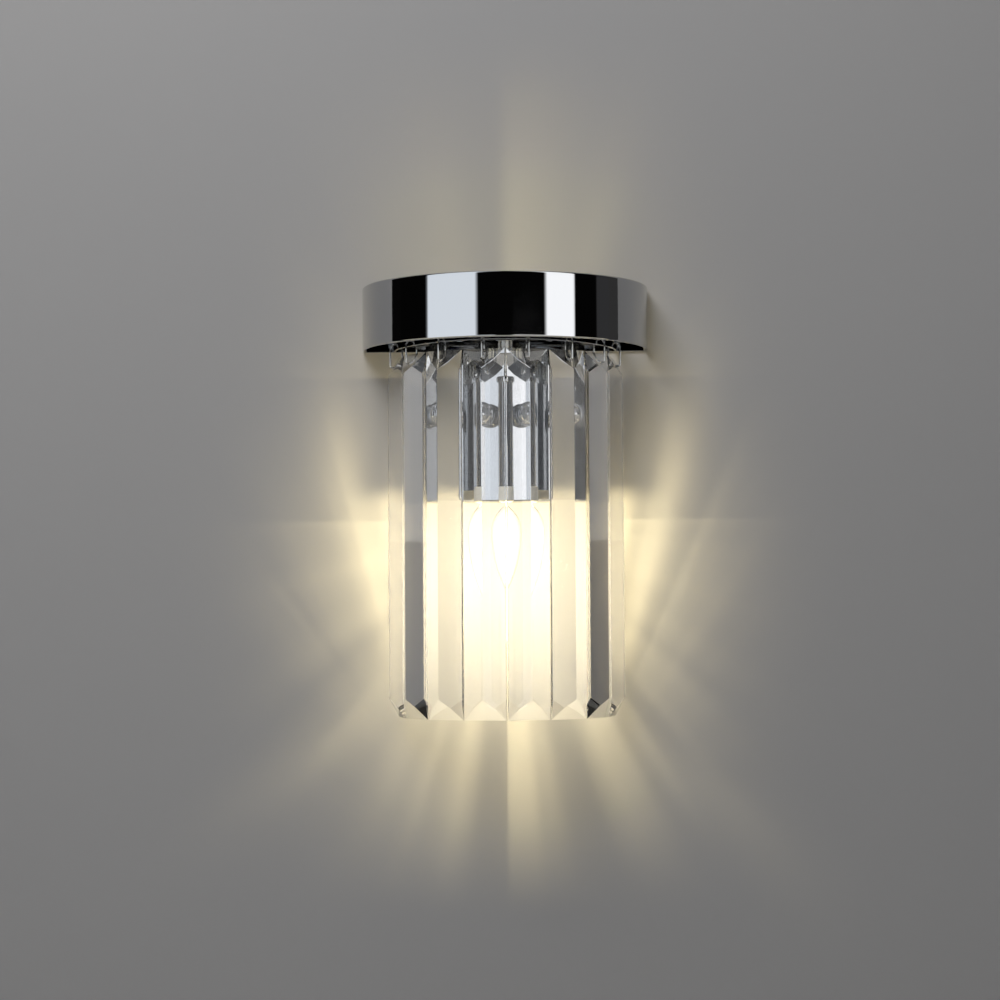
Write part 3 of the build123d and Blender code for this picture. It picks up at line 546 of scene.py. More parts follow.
# ======================== back pan
# A rectangular pan pressed from sheet, with small round corners, polished and plated. It covers the wall
# fixing, and its front is the mirror seen between the crystals.
PAN_WIDTH = 0.104
PAN_HEIGHT = 0.120
PAN_DEPTH = 0.022
PAN_WALL = 0.001
PAN_CORNER = 0.003
PAN_EDGE = 0.0014
pan = bmesh.new()
pan_size = Matrix.Diagonal((PAN_WIDTH, PAN_DEPTH, PAN_HEIGHT, 1))
pan_box = Matrix.Translation((0, -PAN_DEPTH / 2, 0)) @ pan_size
bmesh.ops.create_cube(pan, size=1, matrix=pan_box)
corners = [e for e in pan.edges if abs((e.verts[0].co - e.verts[1].co).y) > PAN_DEPTH / 2]
rounded_off(pan, corners, PAN_CORNER, 8)
back = [f for f in pan.faces if f.normal.y > 0.9]
bmesh.ops.delete(pan, geom=back, context="FACES")
rim = [
    e for e in pan.edges
    if all(v.co.y < -PAN_DEPTH + 1e-6 for v in e.verts) and e.calc_face_angle(0) > 1
]
rounded_off(pan, rim, PAN_EDGE, 5)
bmesh.ops.recalc_face_normals(pan, faces=pan.faces)
bmesh.ops.solidify(pan, geom=pan.faces[:], thickness=PAN_WALL)
bmesh.ops.recalc_face_normals(pan, faces=pan.faces)
make_piece("pan_cover", pan, "frame", chrome, ["back_pan"], 50)

# ======================== ball nuts
# Two solid turned balls with a flat back and a collar, polished and plated. They screw on the studs
# through the pan and hold it to the wall.
STUD_SPREAD = 0.030
BALL_RADIUS = 0.0085
BALL_FLAT = 0.007
COLLAR_RADIUS = 0.0056
COLLAR_HEIGHT = 0.002


def turned(points, origin, axis=UP, sideways=RIGHT, closed=False, steps=96):
    """A solid turned about an axis from an outline of (radius, height) points."""
    bm = bmesh.new()
    outline = draw_outline(bm, points, origin, sideways, axis, closed)
    bmesh.ops.spin(
        bm, geom=outline, cent=origin, axis=axis, angle=2 * pi, steps=steps, use_merge=True,
        use_duplicate=False,
    )
    return tidy_shell(bm)


collar_front = PAN_DEPTH + COLLAR_HEIGHT
ball_middle = collar_front + BALL_FLAT
flat_angle = degrees(asin(BALL_FLAT / BALL_RADIUS))
bore_radius = 0.00255
bore_end = 0.0345
ball_outline = (
    [(0, bore_end), (bore_radius, bore_end), (bore_radius, PAN_DEPTH)]
    + arc((COLLAR_RADIUS - 0.0003, PAN_DEPTH + 0.0003), 0.0003, -90, 0, 3)
    + [(COLLAR_RADIUS, collar_front)]
    + arc((0, ball_middle), BALL_RADIUS, -flat_angle, 90, 28)
)
for side, body in ((-1, "left_ball_nut"), (1, "right_ball_nut")):
    ball = turned(ball_outline, RIGHT * side * STUD_SPREAD, FRONT)
    word = body.split("_")[0]
    make_piece(f"ball_knob_{word}", ball, body, chrome, [f"ball_nut_{word}"])

# ======================== bridge, its screws and nuts, and the bush
# A folded steel channel that runs out from the wall strip over the pan to the hoop and carries the lamp.
# Two cross-head screws hold it to the pan, and a rubber bush keeps the leads off its edge.
as_drawn("lamp_bridge", "bridge", plated)
zinc = polished("bright_zinc", (0.70, 0.70, 0.68), 0.20, 90.0, 0.15, 0.00003)


def threaded_side(low, high, radius, pitch, depth):
    """The outer points of a threaded stretch, from bottom to top."""
    turns = int((high - low) / pitch)
    points = []
    for turn in range(turns):
        level = low + turn * pitch
        points += [(radius - depth, level + 0.1 * pitch), (radius, level + 0.5 * pitch)]
    return points + [(radius - depth, low + turns * pitch)]


def together(parts):
    """Several finished bodies in one."""
    whole = bmesh.new()
    for part in parts:
        mesh = bpy.data.meshes.new("part")
        part.to_mesh(mesh)
        part.free()
        whole.from_mesh(mesh)
        bpy.data.meshes.remove(mesh)
    return whole


def grow(bm, face, along):
    """Draw a face out into a closed solid."""
    grown = bmesh.ops.extrude_face_region(bm, geom=[face], use_keep_orig=True)["geom"]
    bmesh.ops.translate(bm, verts=only(bmesh.types.BMVert, grown), vec=along)
    bmesh.ops.recalc_face_normals(bm, faces=bm.faces)


def recess(middle, axis, reach, width, depth):
    """A cutter for the screwdriver's cross in a head."""
    cutter = bmesh.new()
    arm = [(width, width), (width, reach), (-width, reach)]
    corners = [(x / 2, y / 2) for x, y in arm]
    for _ in range(3):
        corners += [(-y, x) for x, y in corners[-3:]]
    face = cutter.faces.new([cutter.verts.new((x, y, -depth)) for x, y in corners])
    grow(cutter, face, (0, 0, depth + 0.001))
    turn = axis.to_track_quat("Z", "Y").to_matrix().to_4x4()
    bmesh.ops.transform(cutter, matrix=Matrix.Translation(middle) @ turn, verts=cutter.verts)
    return cutter


def machine_screw(seat, axis, head, shank):
    """A screw with a low rounded head on the seat: head and shank are given as (radius, length)."""
    head_radius, head_height = head
    shank_radius, shank_length = shank
    edge = head_height / 3
    outline = (
        [(0, -shank_length)]
        + threaded_side(-shank_length, 0, shank_radius, 0.0007, 0.0003)
        + [(shank_radius, 0), (head_radius, 0)]
        + arc((head_radius - edge, head_height - edge), edge, 0, 90, 3)
        + [(0, head_height)]
    )
    return turned(outline, seat, axis, steps=48)


SCREW_SPREAD = 0.0092
SCREW_RADIUS = 0.002
HEAD_HEIGHT = 0.0024
BUSH_OUT = 0.011
bridge_floor = 0.0615
screw_seats = [Vector((side * SCREW_SPREAD, -BUSH_OUT, bridge_floor)) for side in (-1, 1)]
bridge_screws = [
    machine_screw(seat, UP, (0.0034, HEAD_HEIGHT), (SCREW_RADIUS, 0.012)) for seat in screw_seats
]
bridge_screw_pair = make_piece(
    "bridge_screw_pair", together(bridge_screws), "frame", zinc, ["bridge_screws"]
)
head_tops = [seat + UP * HEAD_HEIGHT for seat in screw_seats]
drill(bridge_screw_pair, together([recess(top, UP, 0.0036, 0.0009, 0.0013) for top in head_tops]))
as_drawn("bridge_nut_pair", "bridge_nuts", zinc)


def moulded(name, colour, roughness, scale, ripple, spread=0.04):
    """A moulded plastic or rubber skin with a fine grain and a little unevenness of colour."""
    material, tree, shader = blank_material(name)
    grain, tint = grained(tree, scale, 5.0, shades(colour, spread))
    tree.links.new(tint, shader.inputs["Base Color"])
    tree.links.new(sum_up(tree, "ADD", product(tree, grain, 0.12), roughness), shader.inputs["Roughness"])
    raised(tree, shader, grain, ripple)
    return material


rubber = moulded("black_rubber", (0.018, 0.018, 0.019), 0.55, 900.0, 0.00002)
as_drawn("lead_bush", "grommet", rubber)

# ======================== lamp stem and its nuts
# A hollow threaded steel tube that hangs from the bridge, with a thin locknut above and below the
# bridge and one on top of the tube's cap.
LAMP = Vector((0, -0.051, 0))
stem_low, stem_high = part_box("lamp_stem")
STEM_RADIUS = 0.005
STEM_BORE = 0.0035
THREAD_PITCH = 0.001
THREAD_DEPTH = 0.0005

stem_outline = [(STEM_BORE, stem_high.z), (STEM_BORE, stem_low.z)] + threaded_side(
    stem_low.z, stem_high.z, STEM_RADIUS, THREAD_PITCH, THREAD_DEPTH
)
stem = turned(stem_outline, LAMP, closed=True, steps=64)
make_piece("threaded_stem", stem, "frame", zinc, ["lamp_stem"])
as_drawn("stem_locknuts", "stem_nuts", zinc)

# ======================== lamp tube and its cap
# A polished plated tube that sleeves the lampholder, closed above by a turned cap of the same finish.
TUBE_RADIUS = 0.0125
TUBE_WALL = 0.0008
tube_low, tube_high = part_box("socket_tube")
tube_lip = TUBE_WALL / 2
tube_outline = (
    [(TUBE_RADIUS - TUBE_WALL, tube_high.z), (TUBE_RADIUS - TUBE_WALL, tube_low.z + tube_lip)]
    + arc((TUBE_RADIUS - tube_lip, tube_low.z + tube_lip), tube_lip, 180, 360, 6)
    + [(TUBE_RADIUS, tube_high.z)]
)
sleeve = turned(tube_outline, LAMP, closed=True, steps=128)
make_piece("lamp_sleeve", sleeve, "frame", chrome, ["socket_tube"])

CAP_RADIUS = 0.0135
cap_low, cap_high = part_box("tube_cap")
spigot = TUBE_RADIUS - TUBE_WALL - 0.00005
cap_round = 0.001
cap_outline = (
    [(STEM_RADIUS, cap_high.z), (STEM_RADIUS, cap_low.z), (spigot, cap_low.z), (spigot, tube_high.z)]
    + arc((CAP_RADIUS - 0.0003, tube_high.z + 0.0003), 0.0003, -90, 0, 3)
    + arc((CAP_RADIUS - cap_round, cap_high.z - cap_round), cap_round, 0, 90, 6)
)
cap = turned(cap_outline, LAMP, closed=True, steps=128)
make_piece("sleeve_cap", cap, "frame", chrome, ["tube_cap"])

# ======================== lampholder
# A moulded thermoset body and cap inside the tube; the pale rim of the body shows below it. A brass
# screw shell, a spring contact and two brass terminals sit in the moulding.
cream = moulded("holder_moulding", (0.80, 0.77, 0.68), 0.32, 500.0, 0.00001, 0.02)
brass = polished("brass", (0.80, 0.58, 0.27), 0.18, 120.0, 0.15, 0.00002)
as_drawn("holder_moulding", "holder_body", cream, bevel=0.0002, angle=30)
as_drawn("holder_top", "holder_cap", cream)
as_drawn("screw_shell", "threaded_shell", brass)
as_drawn("spring_contact", "centre_contact", brass)
as_drawn("lamp_terminals", "holder_terminals", brass)

# ======================== bulb
# A clear blown glass envelope in the shape of a flame, sealed to a pressed nickel screw cap, with a
# glass mount, two support wires and a coiled tungsten filament that glows.
BULB_RADIUS = 0.0175
BULB_WALL = 0.0006
bulb_low, bulb_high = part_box("bulb_glass")
cap_end = -0.0605
neck_radius = 0.0065
neck_top = bulb_high.z
shoulder_radius = 0.004
shoulder_turn = 55.0
tip_radius = 0.0016
shoulder = radians(shoulder_turn)
body_radius = (BULB_RADIUS - neck_radius - shoulder_radius * (1 - cos(shoulder))) / (1 - cos(shoulder))
shoulder_start = cap_end - 0.00005
widest = shoulder_start - (shoulder_radius + body_radius) * sin(shoulder)
flame_width = BULB_RADIUS - tip_radius
flame_length = widest - bulb_low.z - tip_radius
flame_turn = 2 * asin(flame_width / sqrt(flame_width**2 + flame_length**2))
flame_radius = flame_length / (2 * sin(flame_turn))
flame_degrees = degrees(flame_turn)


def envelope_side(inset):
    """The bulb's outline from the neck down to the tip, drawn inwards by the inset."""
    neck_side = (neck_radius + shoulder_radius, shoulder_start)
    swell = arc(neck_side, shoulder_radius + inset, 180, 180 + shoulder_turn, 10)
    belly = arc((BULB_RADIUS - body_radius, widest), body_radius - inset, shoulder_turn, 0, 14)
    turn_in = arc((BULB_RADIUS - flame_radius, widest), flame_radius - inset, 0, -flame_degrees, 20)
    flame_end = widest - flame_length
    flame_side = (tip_radius + flame_radius, flame_end)
    turn_out = arc(flame_side, flame_radius + inset, 180 - flame_degrees, 180, 20)
    tip = arc((0, flame_end), tip_radius - inset, 0, -90, 6)
    return [(neck_radius - inset, neck_top)] + swell + belly[1:] + turn_in[1:] + turn_out[1:] + tip[1:]


def clear(name, ior, scale, ripple, shadow):
    """Clear glass: it bends what lies behind it, and its shadow stays light."""
    material, tree, shader = blank_material(name)
    shader.inputs["Base Color"].default_value = (1.0, 1.0, 1.0, 1)
    shader.inputs["IOR"].default_value = ior
    shader.inputs["Transmission Weight"].default_value = 1.0
    smeared(tree, shader, 0.0, scale, 0.0, ripple)
    light_shadow = tree.nodes.new("ShaderNodeBsdfTransparent")
    light_shadow.inputs["Color"].default_value = (shadow, shadow, shadow, 1)
    shadow_ray = tree.nodes.new("ShaderNodeLightPath").outputs["Is Shadow Ray"]
    put_out(tree, mix_shaders(tree, shadow_ray, shader.outputs["BSDF"], light_shadow.outputs["BSDF"]))
    return material


thin_glass = clear("blown_glass", 1.5, 40.0, 0.00002, 0.97)
# the lit envelope's glass has a painted glow where it faces the eye and painted warm shading towards its
# edges
glass_with_painted_glow = clear("glass_with_painted_glow", 1.5, 40.0, 0.00002, 0.97)
lit_tree = glass_with_painted_glow.node_tree
lit_shader = lit_tree.nodes["Principled BSDF"]
edge_on = lit_tree.nodes.new("ShaderNodeLayerWeight")
edge_on.inputs["Blend"].default_value = 0.35
painted_edge_tint = lit_tree.nodes.new("ShaderNodeValToRGB")
painted_edge_stops = ((0.55, (1.0, 1.0, 1.0, 1)), (0.95, (0.72, 0.62, 0.42, 1)))
for stop, (position, colour) in zip(painted_edge_tint.color_ramp.elements, painted_edge_stops):
    stop.position = position
    stop.color = colour
lit_tree.links.new(edge_on.outputs["Facing"], painted_edge_tint.inputs["Fac"])
lit_tree.links.new(painted_edge_tint.outputs["Color"], lit_shader.inputs["Base Color"])
lit_shader.inputs["Emission Color"].default_value = (1.0, 0.93, 0.74, 1)
painted_glow_share = sum_up(lit_tree, "SUBTRACT", 1.0, edge_on.outputs["Facing"])
lit_tree.links.new(product(lit_tree, painted_glow_share, 0.16), lit_shader.inputs["Emission Strength"])
envelope_outline = list(reversed(envelope_side(BULB_WALL))) + envelope_side(0)
envelope = turned(envelope_outline, LAMP, steps=96)
rim_edges = [e for e in envelope.edges if e.is_boundary]
bmesh.ops.bridge_loops(envelope, edges=rim_edges)
bmesh.ops.recalc_face_normals(envelope, faces=envelope.faces)
make_piece("flame_envelope", envelope, "bulb", glass_with_painted_glow, ["bulb_glass"])
as_drawn("glass_mount", "bulb_mount", thin_glass, "bulb")
nickel = polished("nickel", (0.74, 0.71, 0.66), 0.16, 120.0, 0.12, 0.00002)
as_drawn("support_pair", "support_wires", nickel, "bulb")
shell_low, shell_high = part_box("bulb_cap")
SHELL_RADIUS = 0.00695
SHELL_WALL = 0.0004
ROLL_PITCH = 0.00282
ROLL_DEPTH = 0.00035
ROLL_STEPS = 12
plain_end = 0.002
rolls = int((shell_high.z - shell_low.z - 2 * plain_end) / ROLL_PITCH)
roll_start = shell_low.z + plain_end
shell_side = [(SHELL_RADIUS, shell_low.z), (SHELL_RADIUS, roll_start)]
for step in range(1, ROLL_STEPS * rolls):
    sunk = ROLL_DEPTH * (1 - cos(2 * pi * step / ROLL_STEPS)) / 2
    shell_side.append((SHELL_RADIUS - sunk, roll_start + ROLL_PITCH * step / ROLL_STEPS))
shell_side += [(SHELL_RADIUS, roll_start + ROLL_PITCH * rolls), (SHELL_RADIUS, shell_high.z)]
shell_inside = [(radius - SHELL_WALL, level) for radius, level in reversed(shell_side)]
shell = turned(shell_side + shell_inside, LAMP, closed=True, steps=96)
make_piece("screw_cap", shell, "bulb", nickel, ["bulb_cap"])
as_drawn("cap_contact", "bulb_contact", brass, "bulb")
vitrite = moulded("black_glass", (0.012, 0.012, 0.014), 0.12, 200.0, 0.00001)
as_drawn("cap_glass", "cap_insulator", vitrite, "bulb")

glow, glow_tree, glow_shader = blank_material("hot_tungsten")
glow_shader.inputs["Base Color"].default_value = (0.9, 0.7, 0.4, 1)
heat_colours = [(1.0, 0.74, 0.38, 1), (1.0, 0.88, 0.62, 1)]
heat = grained(glow_tree, 300.0, 2.0, heat_colours)[1]
glow_tree.links.new(heat, glow_shader.inputs["Emission Color"])
glow_shader.inputs["Emission Strength"].default_value = 18.0


def wire_run(path, radius, sides):
    """A round wire along a path of points, its ends cut square. U runs round the wire, V along it."""
    bm = bmesh.new()
    rings = []
    side = None
    for here, middle in enumerate(path):
        along = (path[min(here + 1, len(path) - 1)] - path[max(here - 1, 0)]).normalized()
        side = along.orthogonal() if side is None else side - along * side.dot(along)
        side.normalize()
        up = along.cross(side)
        turns = [2 * pi * i / sides for i in range(sides)]
        rings.append([bm.verts.new(middle + (side * cos(t) + up * sin(t)) * radius) for t in turns])
    round_and_along = bm.loops.layers.uv.new("round_and_along")
    for step, (near, far) in enumerate(zip(rings, rings[1:])):
        for i in range(sides):
            j = (i + 1) % sides
            face = bm.faces.new((near[i], near[j], far[j], far[i]))
            places = ((i, step), (i + 1, step), (i + 1, step + 1), (i, step + 1))
            for loop, (u, v) in zip(face.loops, places):
                loop[round_and_along].uv = (u / sides, v / len(rings))
    bm.faces.new(reversed(rings[0]))
    bm.faces.new(rings[-1])
    bmesh.ops.recalc_face_normals(bm, faces=bm.faces)
    return bm


# the coil hangs in an arc between the two support wires
SUPPORT_SPREAD = 0.005
COIL_SAG = 0.007
COIL_RADIUS = 0.00038
COIL_WIRE = 0.0001
COIL_TURNS = 42
TURN_STEPS = 12
coil_start = -0.1008
coil_tail = 0.0007
coil_arc = (SUPPORT_SPREAD**2 + COIL_SAG**2) / (2 * COIL_SAG)
coil_middle = Vector((0, LAMP.y, coil_start - COIL_SAG + coil_arc))
coil_end = degrees(asin((coil_arc - COIL_SAG) / coil_arc))
coil_path = [Vector((-SUPPORT_SPREAD, LAMP.y, coil_start + coil_tail))]
coil_steps = TURN_STEPS * COIL_TURNS
for step in range(coil_steps + 1):
    place = radians(180 + coil_end + (180 - 2 * coil_end) * step / coil_steps)
    outwards_here = Vector((cos(place), 0, sin(place)))
    round_it = 2 * pi * step / TURN_STEPS
    coil_path.append(
        coil_middle + outwards_here * (coil_arc + COIL_RADIUS * cos(round_it))
        + Vector((0, COIL_RADIUS * sin(round_it), 0))
    )
coil_path.append(Vector((SUPPORT_SPREAD, LAMP.y, coil_start + coil_tail)))
make_piece("filament_coil", wire_run(coil_path, COIL_WIRE, 6), "bulb", glow, ["filament"], 70)

# The lamp lights its surroundings through the crystals. What they throw on the wall is drawn here: a
# round pool beside them, a fan above the band and one below, all broken up into streaks.
POOL_CENTRE = LAMP - UP * 0.072


def warm_light(name, place, power):
    """A point lamp in the bulb's warm colour."""
    data = add_lamp(name, "POINT", place, power).data
    data.color = (1.0, 0.83, 0.46)
    data.shadow_soft_size = 0.0
    return data


warm_light("filament_light", LAMP - UP * 0.10, 0.12)
thrown = warm_light("thrown_light", POOL_CENTRE, 0.24)
thrown.use_shadow = False
thrown.use_nodes = True
beam = thrown.node_tree
ray_x, ray_y, ray_z = axes_of(beam, place_on(beam, "Normal"))
wall_distance = wall_gap - POOL_CENTRE.y
steepness = sum_up(beam, "MAXIMUM", sum_up(beam, "ABSOLUTE", ray_y), 0.02)
side_on_wall = sum_up(beam, "DIVIDE", product(beam, ray_x, wall_distance), ray_y)
up_on_wall = sum_up(beam, "DIVIDE", product(beam, ray_z, wall_distance), ray_y)


def fall(value, start, end, top):
    """A smooth fall from the top value at the start to nothing at the end."""
    return carried(beam, value, (start, end), (top, 0.0), smooth=True)


def streaks(turn, scale, low, high):
    """Light and dark rays, from a noise over the direction in which they run."""
    noise = beam.nodes.new("ShaderNodeTexNoise")
    noise.noise_dimensions = "1D"
    noise.inputs["Scale"].default_value = scale
    noise.inputs["Detail"].default_value = 2.0
    beam.links.new(turn, noise.inputs["W"])
    return carried(beam, noise.outputs["Fac"], (0.3, 0.7), (low, high))


# beside the crystals: streaks that rise and spread from the lower ends, and the pan's shade above
POOL_SPREAD = 0.062
POOL_LIGHT = 3.3
POOL_LIMIT = 1.75
side_distance = sum_up(beam, "ABSOLUTE", side_on_wall)
wing_turn = sum_up(
    beam, "ARCTAN2", sum_up(beam, "SUBTRACT", side_distance, 0.055), sum_up(beam, "ADD", up_on_wall, 0.19)
)
wing_turn = sum_up(beam, "ADD", wing_turn, sum_up(beam, "GREATER_THAN", side_on_wall, 0.0))
pool = product(
    beam,
    bell(beam, side_on_wall, 0, POOL_SPREAD),
    bell(beam, up_on_wall, 0, POOL_SPREAD),
    POOL_LIGHT,
    streaks(wing_turn, 6.0, 0.6, 1.4),
)
above_edge = sum_up(beam, "SUBTRACT", 1.0, fall(up_on_wall, 0.008, 0.028, 1.0))
shade = product(beam, above_edge, fall(side_distance, 0.086, 0.120, 0.82))
out_of_shade = sum_up(beam, "SUBTRACT", 1.0, shade)
pool = product(beam, sum_up(beam, "MINIMUM", pool, POOL_LIMIT), out_of_shade)

# above the band and below the crystals: fans of streaks, and two stray rays lower down
fan_width = bell(beam, side_on_wall, 0, 0.066)
above = sum_up(beam, "GREATER_THAN", up_on_wall, 0.1)
below = sum_up(beam, "LESS_THAN", up_on_wall, 0.0)
upper_fan = product(beam, fan_width, fall(up_on_wall, 0.15, 0.36, 0.27), above)
lower_fan = product(beam, fan_width, fall(up_on_wall, -0.12, -0.28, 0.86), below)
lamp_turn = sum_up(beam, "ARCTAN2", side_on_wall, up_on_wall)
fans = product(beam, sum_up(beam, "ADD", upper_fan, lower_fan), streaks(lamp_turn, 5.0, 0.55, 1.45))
down_turn = sum_up(beam, "ARCTAN2", side_on_wall, sum_up(beam, "SUBTRACT", -0.08, up_on_wall))
stray = sum_up(beam, "ADD", bell(beam, down_turn, -1.02, 0.07), bell(beam, down_turn, 0.90, 0.07))
stray = product(beam, stray, bell(beam, side_distance, 0.13, 0.045), 0.07)
on_wall = sum_up(beam, "ADD", pool, sum_up(beam, "ADD", fans, stray))
beam_strength = sum_up(beam, "DIVIDE", on_wall, sum_up(beam, "POWER", steepness, 3.0))
beam.links.new(beam_strength, beam.nodes["Emission"].inputs["Strength"])

# ======================== crystals
# Eight bars of clear lead crystal with a flat back and a ridged front, ground and polished, each with
# three facets cut on either end and a hole drilled near the top. All hang from the hoop.
CRYSTAL_COUNT = 8
CRYSTAL_WIDTH = 0.0286
CRYSTAL_SIDE = 0.002
CRYSTAL_RIDGE = 0.0095
CRYSTAL_BACK = 0.074
RIDGE_CUT = 0.014
CORNER_CUT = 0.014
CRYSTAL_CHAMFER = 0.0002
HOLE_RADIUS = 0.0012
HOLE_DOWN = 0.0075
crystal_low, crystal_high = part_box("prism_1")
crystal_glass = clear("cut_crystal", 1.56, 30.0, 0.000001, 0.80)
half_width = CRYSTAL_WIDTH / 2
meet_y = (CRYSTAL_SIDE + CRYSTAL_RIDGE) / 2
meet_z = RIDGE_CUT * meet_y / CRYSTAL_RIDGE


def cut_end(bm, points, inside):
    """Grind one facet: cut along the plane through three points and close the cut."""
    first, second, third = points
    normal = (second - first).cross(third - first).normalized()
    if normal.dot(inside - first) > 0:
        normal = -normal
    cut = bmesh.ops.bisect_plane(
        bm, geom=bm.verts[:] + bm.edges[:] + bm.faces[:], plane_co=first, plane_no=normal,
        clear_outer=True,
    )
    bmesh.ops.contextual_create(bm, geom=only(bmesh.types.BMEdge, cut["geom_cut"]))


def facing(number):
    """The directions along the band and outwards at a crystal, counted from the left."""
    turn = radians(180 / CRYSTAL_COUNT * (number - (CRYSTAL_COUNT + 1) / 2))
    return Vector((cos(turn), sin(turn), 0)), Vector((sin(turn), -cos(turn), 0))


for number in range(1, CRYSTAL_COUNT + 1):
    across, outward = facing(number)
    foot = RING_CENTRE + outward * CRYSTAL_BACK + UP * crystal_low.z

    def corner_at(x, y, z):
        return foot + across * x + outward * y + UP * z

    crystal = bmesh.new()
    section = [
        (-half_width, 0), (half_width, 0), (half_width, CRYSTAL_SIDE), (0, CRYSTAL_RIDGE),
        (-half_width, CRYSTAL_SIDE),
    ]
    base = crystal.faces.new([crystal.verts.new(corner_at(x, y, 0)) for x, y in section])
    length = crystal_high.z - crystal_low.z
    grow(crystal, base, UP * length)
    inside = corner_at(0, CRYSTAL_SIDE / 2, length / 2)
    for end, climb in ((0, 1), (length, -1)):
        apex = corner_at(0, CRYSTAL_RIDGE, end + climb * RIDGE_CUT)
        cut_end(crystal, (corner_at(-half_width, 0, end), corner_at(half_width, 0, end), apex), inside)
        for side in (-1, 1):
            cut_end(
                crystal,
                (
                    corner_at(side * half_width, 0, end),
                    corner_at(side * half_width, CRYSTAL_SIDE, end + climb * CORNER_CUT),
                    corner_at(side * half_width / 2, meet_y, end + climb * meet_z),
                ),
                inside,
            )
    tidy_shell(crystal, CRYSTAL_CHAMFER, 8, 1)
    piece = make_piece(
        f"crystal_{number}", crystal, f"hanging_prism_{number}", crystal_glass,
        [f"prism_{number}"], 5,
    )
    hole = bmesh.new()
    hole_middle = corner_at(0, CRYSTAL_RIDGE / 2, length - HOLE_DOWN)
    hole_turn = outward.to_track_quat("Z", "Y").to_matrix().to_4x4()
    bmesh.ops.create_cone(
        hole, cap_ends=True, segments=32, radius1=HOLE_RADIUS, radius2=HOLE_RADIUS,
        depth=3 * CRYSTAL_RIDGE, matrix=Matrix.Translation(hole_middle) @ hole_turn,
    )
    drill(piece, hole)

# ======================== wire loops
# One loop of bright steel wire for each crystal, bent round over the hoop and square through the
# crystal, its two ends butted on the side towards the lamp.
WIRE_RADIUS = 0.0006
LOOP_RADIUS = 0.0042
LOOP_BEND = 0.0009
LOOP_SLIT = 0.0006
HANG_RADIUS = 0.07728
loop_top = BAND_BOTTOM
loop_drop = loop_top - (crystal_high.z - HOLE_DOWN + HOLE_RADIUS - WIRE_RADIUS - 0.00005)
loop_route = (
    [(-LOOP_RADIUS, -loop_drop / 2)]
    + arc((0, 0), LOOP_RADIUS, 180, 0, 28)
    + arc((LOOP_RADIUS - LOOP_BEND, LOOP_BEND - loop_drop), LOOP_BEND, 0, -90, 6)
    + arc((LOOP_BEND - LOOP_RADIUS, LOOP_BEND - loop_drop), LOOP_BEND, -90, -180, 6)
    + [(-LOOP_RADIUS, -loop_drop / 2 - LOOP_SLIT)]
)
for number in range(1, CRYSTAL_COUNT + 1):
    outward = facing(number)[1]
    hang = RING_CENTRE + outward * HANG_RADIUS + UP * loop_top
    loop = wire_run([hang + outward * a + UP * b for a, b in loop_route], WIRE_RADIUS, 16)
    make_piece(
        f"wire_loop_{number}", loop, f"hanging_prism_{number}", plated,
        [f"hook_{number}"], 40,
    )

# ======================== wall bracket, studs and their nuts
# A punched flat bar screwed to the wall through its two slots. Two studs stand out of it for the ball
# nuts, each locked by a small nut.
as_drawn("wall_bar", "wall_bracket", zinc, bevel=0.0002, angle=50)
as_drawn("stud_pair", "bracket_studs", zinc)
as_drawn("stud_locknuts", "stud_nuts", zinc)

# ======================== terminal block, earth screw and leads
# A moulded three-pole block on the bar's tab, with brass clamp screws, and beside it the earth lug
# under its screw. Three insulated leads run to it.
white = moulded("white_moulding", (0.82, 0.82, 0.80), 0.36, 500.0, 0.00001, 0.02)
as_drawn("mains_block", "terminal_block", white, bevel=0.0002, angle=50)
clamps = as_drawn("clamp_screws", "terminal_screws", brass)
clamp_low, clamp_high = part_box("terminal_screws")
clamp_level = (clamp_low.z + clamp_high.z) / 2
POLE_PITCH = 0.008
clamp_faces = [Vector((pole * POLE_PITCH, clamp_low.y, clamp_level)) for pole in (-1, 0, 1)]
drill(clamps, together([recess(face, FRONT, 0.0022, 0.0005, 0.0007) for face in clamp_faces]))
block_fixing = as_drawn("block_fixing", "block_screw", zinc)
fixing_low, fixing_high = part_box("block_screw")
fixing_face = Vector((0, fixing_low.y, (fixing_low.z + fixing_high.z) / 2))
drill(block_fixing, recess(fixing_face, FRONT, 0.0030, 0.0006, 0.0008))
as_drawn("earth_tag", "earth_lug", brass)
EARTH_SIDE = 0.016
earth_seat = Vector((EARTH_SIDE, -0.0028, 0))
earth_fixing = make_piece(
    "earth_fixing", machine_screw(earth_seat, FRONT, (0.0036, HEAD_HEIGHT), (SCREW_RADIUS, 0.0028)),
    "frame", brass, ["earth_screw"],
)
drill(earth_fixing, recess(earth_seat + FRONT * HEAD_HEIGHT, FRONT, 0.0040, 0.0010, 0.0013))
LEAD_RADIUS = 0.00095
LEAD_BEND = 0.012
EARTH_BEND = 0.004
LEAD_SPREAD = 0.0023
block_out = -0.0085
block_entry = -0.0145
arch_level = 0.076


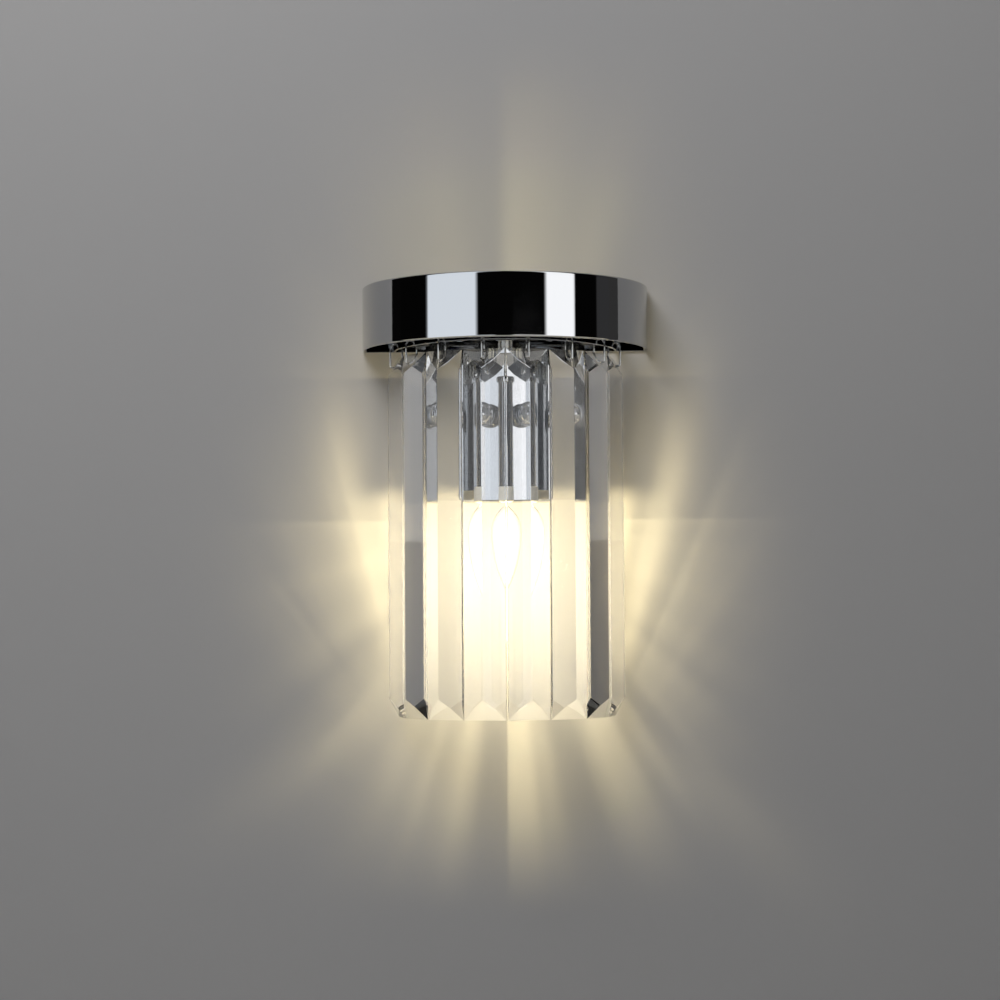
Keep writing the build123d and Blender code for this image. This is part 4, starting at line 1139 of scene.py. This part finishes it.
def rounded(corners, bend):
    """A path along straight runs whose corners are rounded by the bend given."""
    path = [corners[0]]
    for before, corner, after in zip(corners, corners[1:], corners[2:]):
        back = (before - corner).normalized()
        on = (after - corner).normalized()
        half = back.angle(on) / 2
        middle = corner + (back + on).normalized() * bend / sin(half)
        start = corner + back * bend / (sin(half) / cos(half)) - middle
        end = corner + on * bend / (sin(half) / cos(half)) - middle
        path += [middle + start.slerp(end, i / 16).normalized() * bend for i in range(17)]
    return path + [corners[-1]]


lamp_routes = [
    [
        Vector((side * LEAD_SPREAD, LAMP.y, -0.027)),
        Vector((side * LEAD_SPREAD, LAMP.y, arch_level)),
        Vector((side * LEAD_SPREAD, -BUSH_OUT, arch_level)),
        Vector((side * LEAD_SPREAD, -BUSH_OUT, 0.030)),
        Vector((pole * POLE_PITCH, block_out, 0.009)),
        Vector((pole * POLE_PITCH, block_out, block_entry)),
    ]
    for side, pole in ((-1, -1), (1, 0))
]
tag_out = -0.00375
earth_arch = 0.021
earth_route = [
    Vector((EARTH_SIDE, tag_out, 0.006)), Vector((EARTH_SIDE, tag_out, earth_arch)),
    Vector((POLE_PITCH, block_out, earth_arch)), Vector((POLE_PITCH, block_out, block_entry)),
]
for wire, route, bend, colour, slot in (
    ("live_lead", lamp_routes[0], LEAD_BEND, (0.16, 0.06, 0.025), "brown_insulation"),
    ("neutral_lead", lamp_routes[1], LEAD_BEND, (0.03, 0.12, 0.42), "blue_insulation"),
    ("earth_lead", earth_route, EARTH_BEND, (0.08, 0.28, 0.05), "green_insulation"),
):
    insulation = moulded(slot, colour, 0.38, 300.0, 0.00001)
    if wire == "earth_lead":
        # a yellow stripe runs along the earth lead
        tree = insulation.node_tree
        colour_socket = tree.nodes["Principled BSDF"].inputs["Base Color"]
        plain = colour_socket.links[0].from_socket
        round_lead = axes_of(tree, place_on(tree, "UV"))[0]
        striped = mix_colours(tree, within(tree, round_lead, 0.3, 0.65), plain, (0.75, 0.58, 0.03, 1))
        tree.links.new(striped, colour_socket)
    lead = wire_run(rounded(route, bend), LEAD_RADIUS, 20)
    make_piece(f"insulated_{wire}", lead, "frame", insulation, [wire])
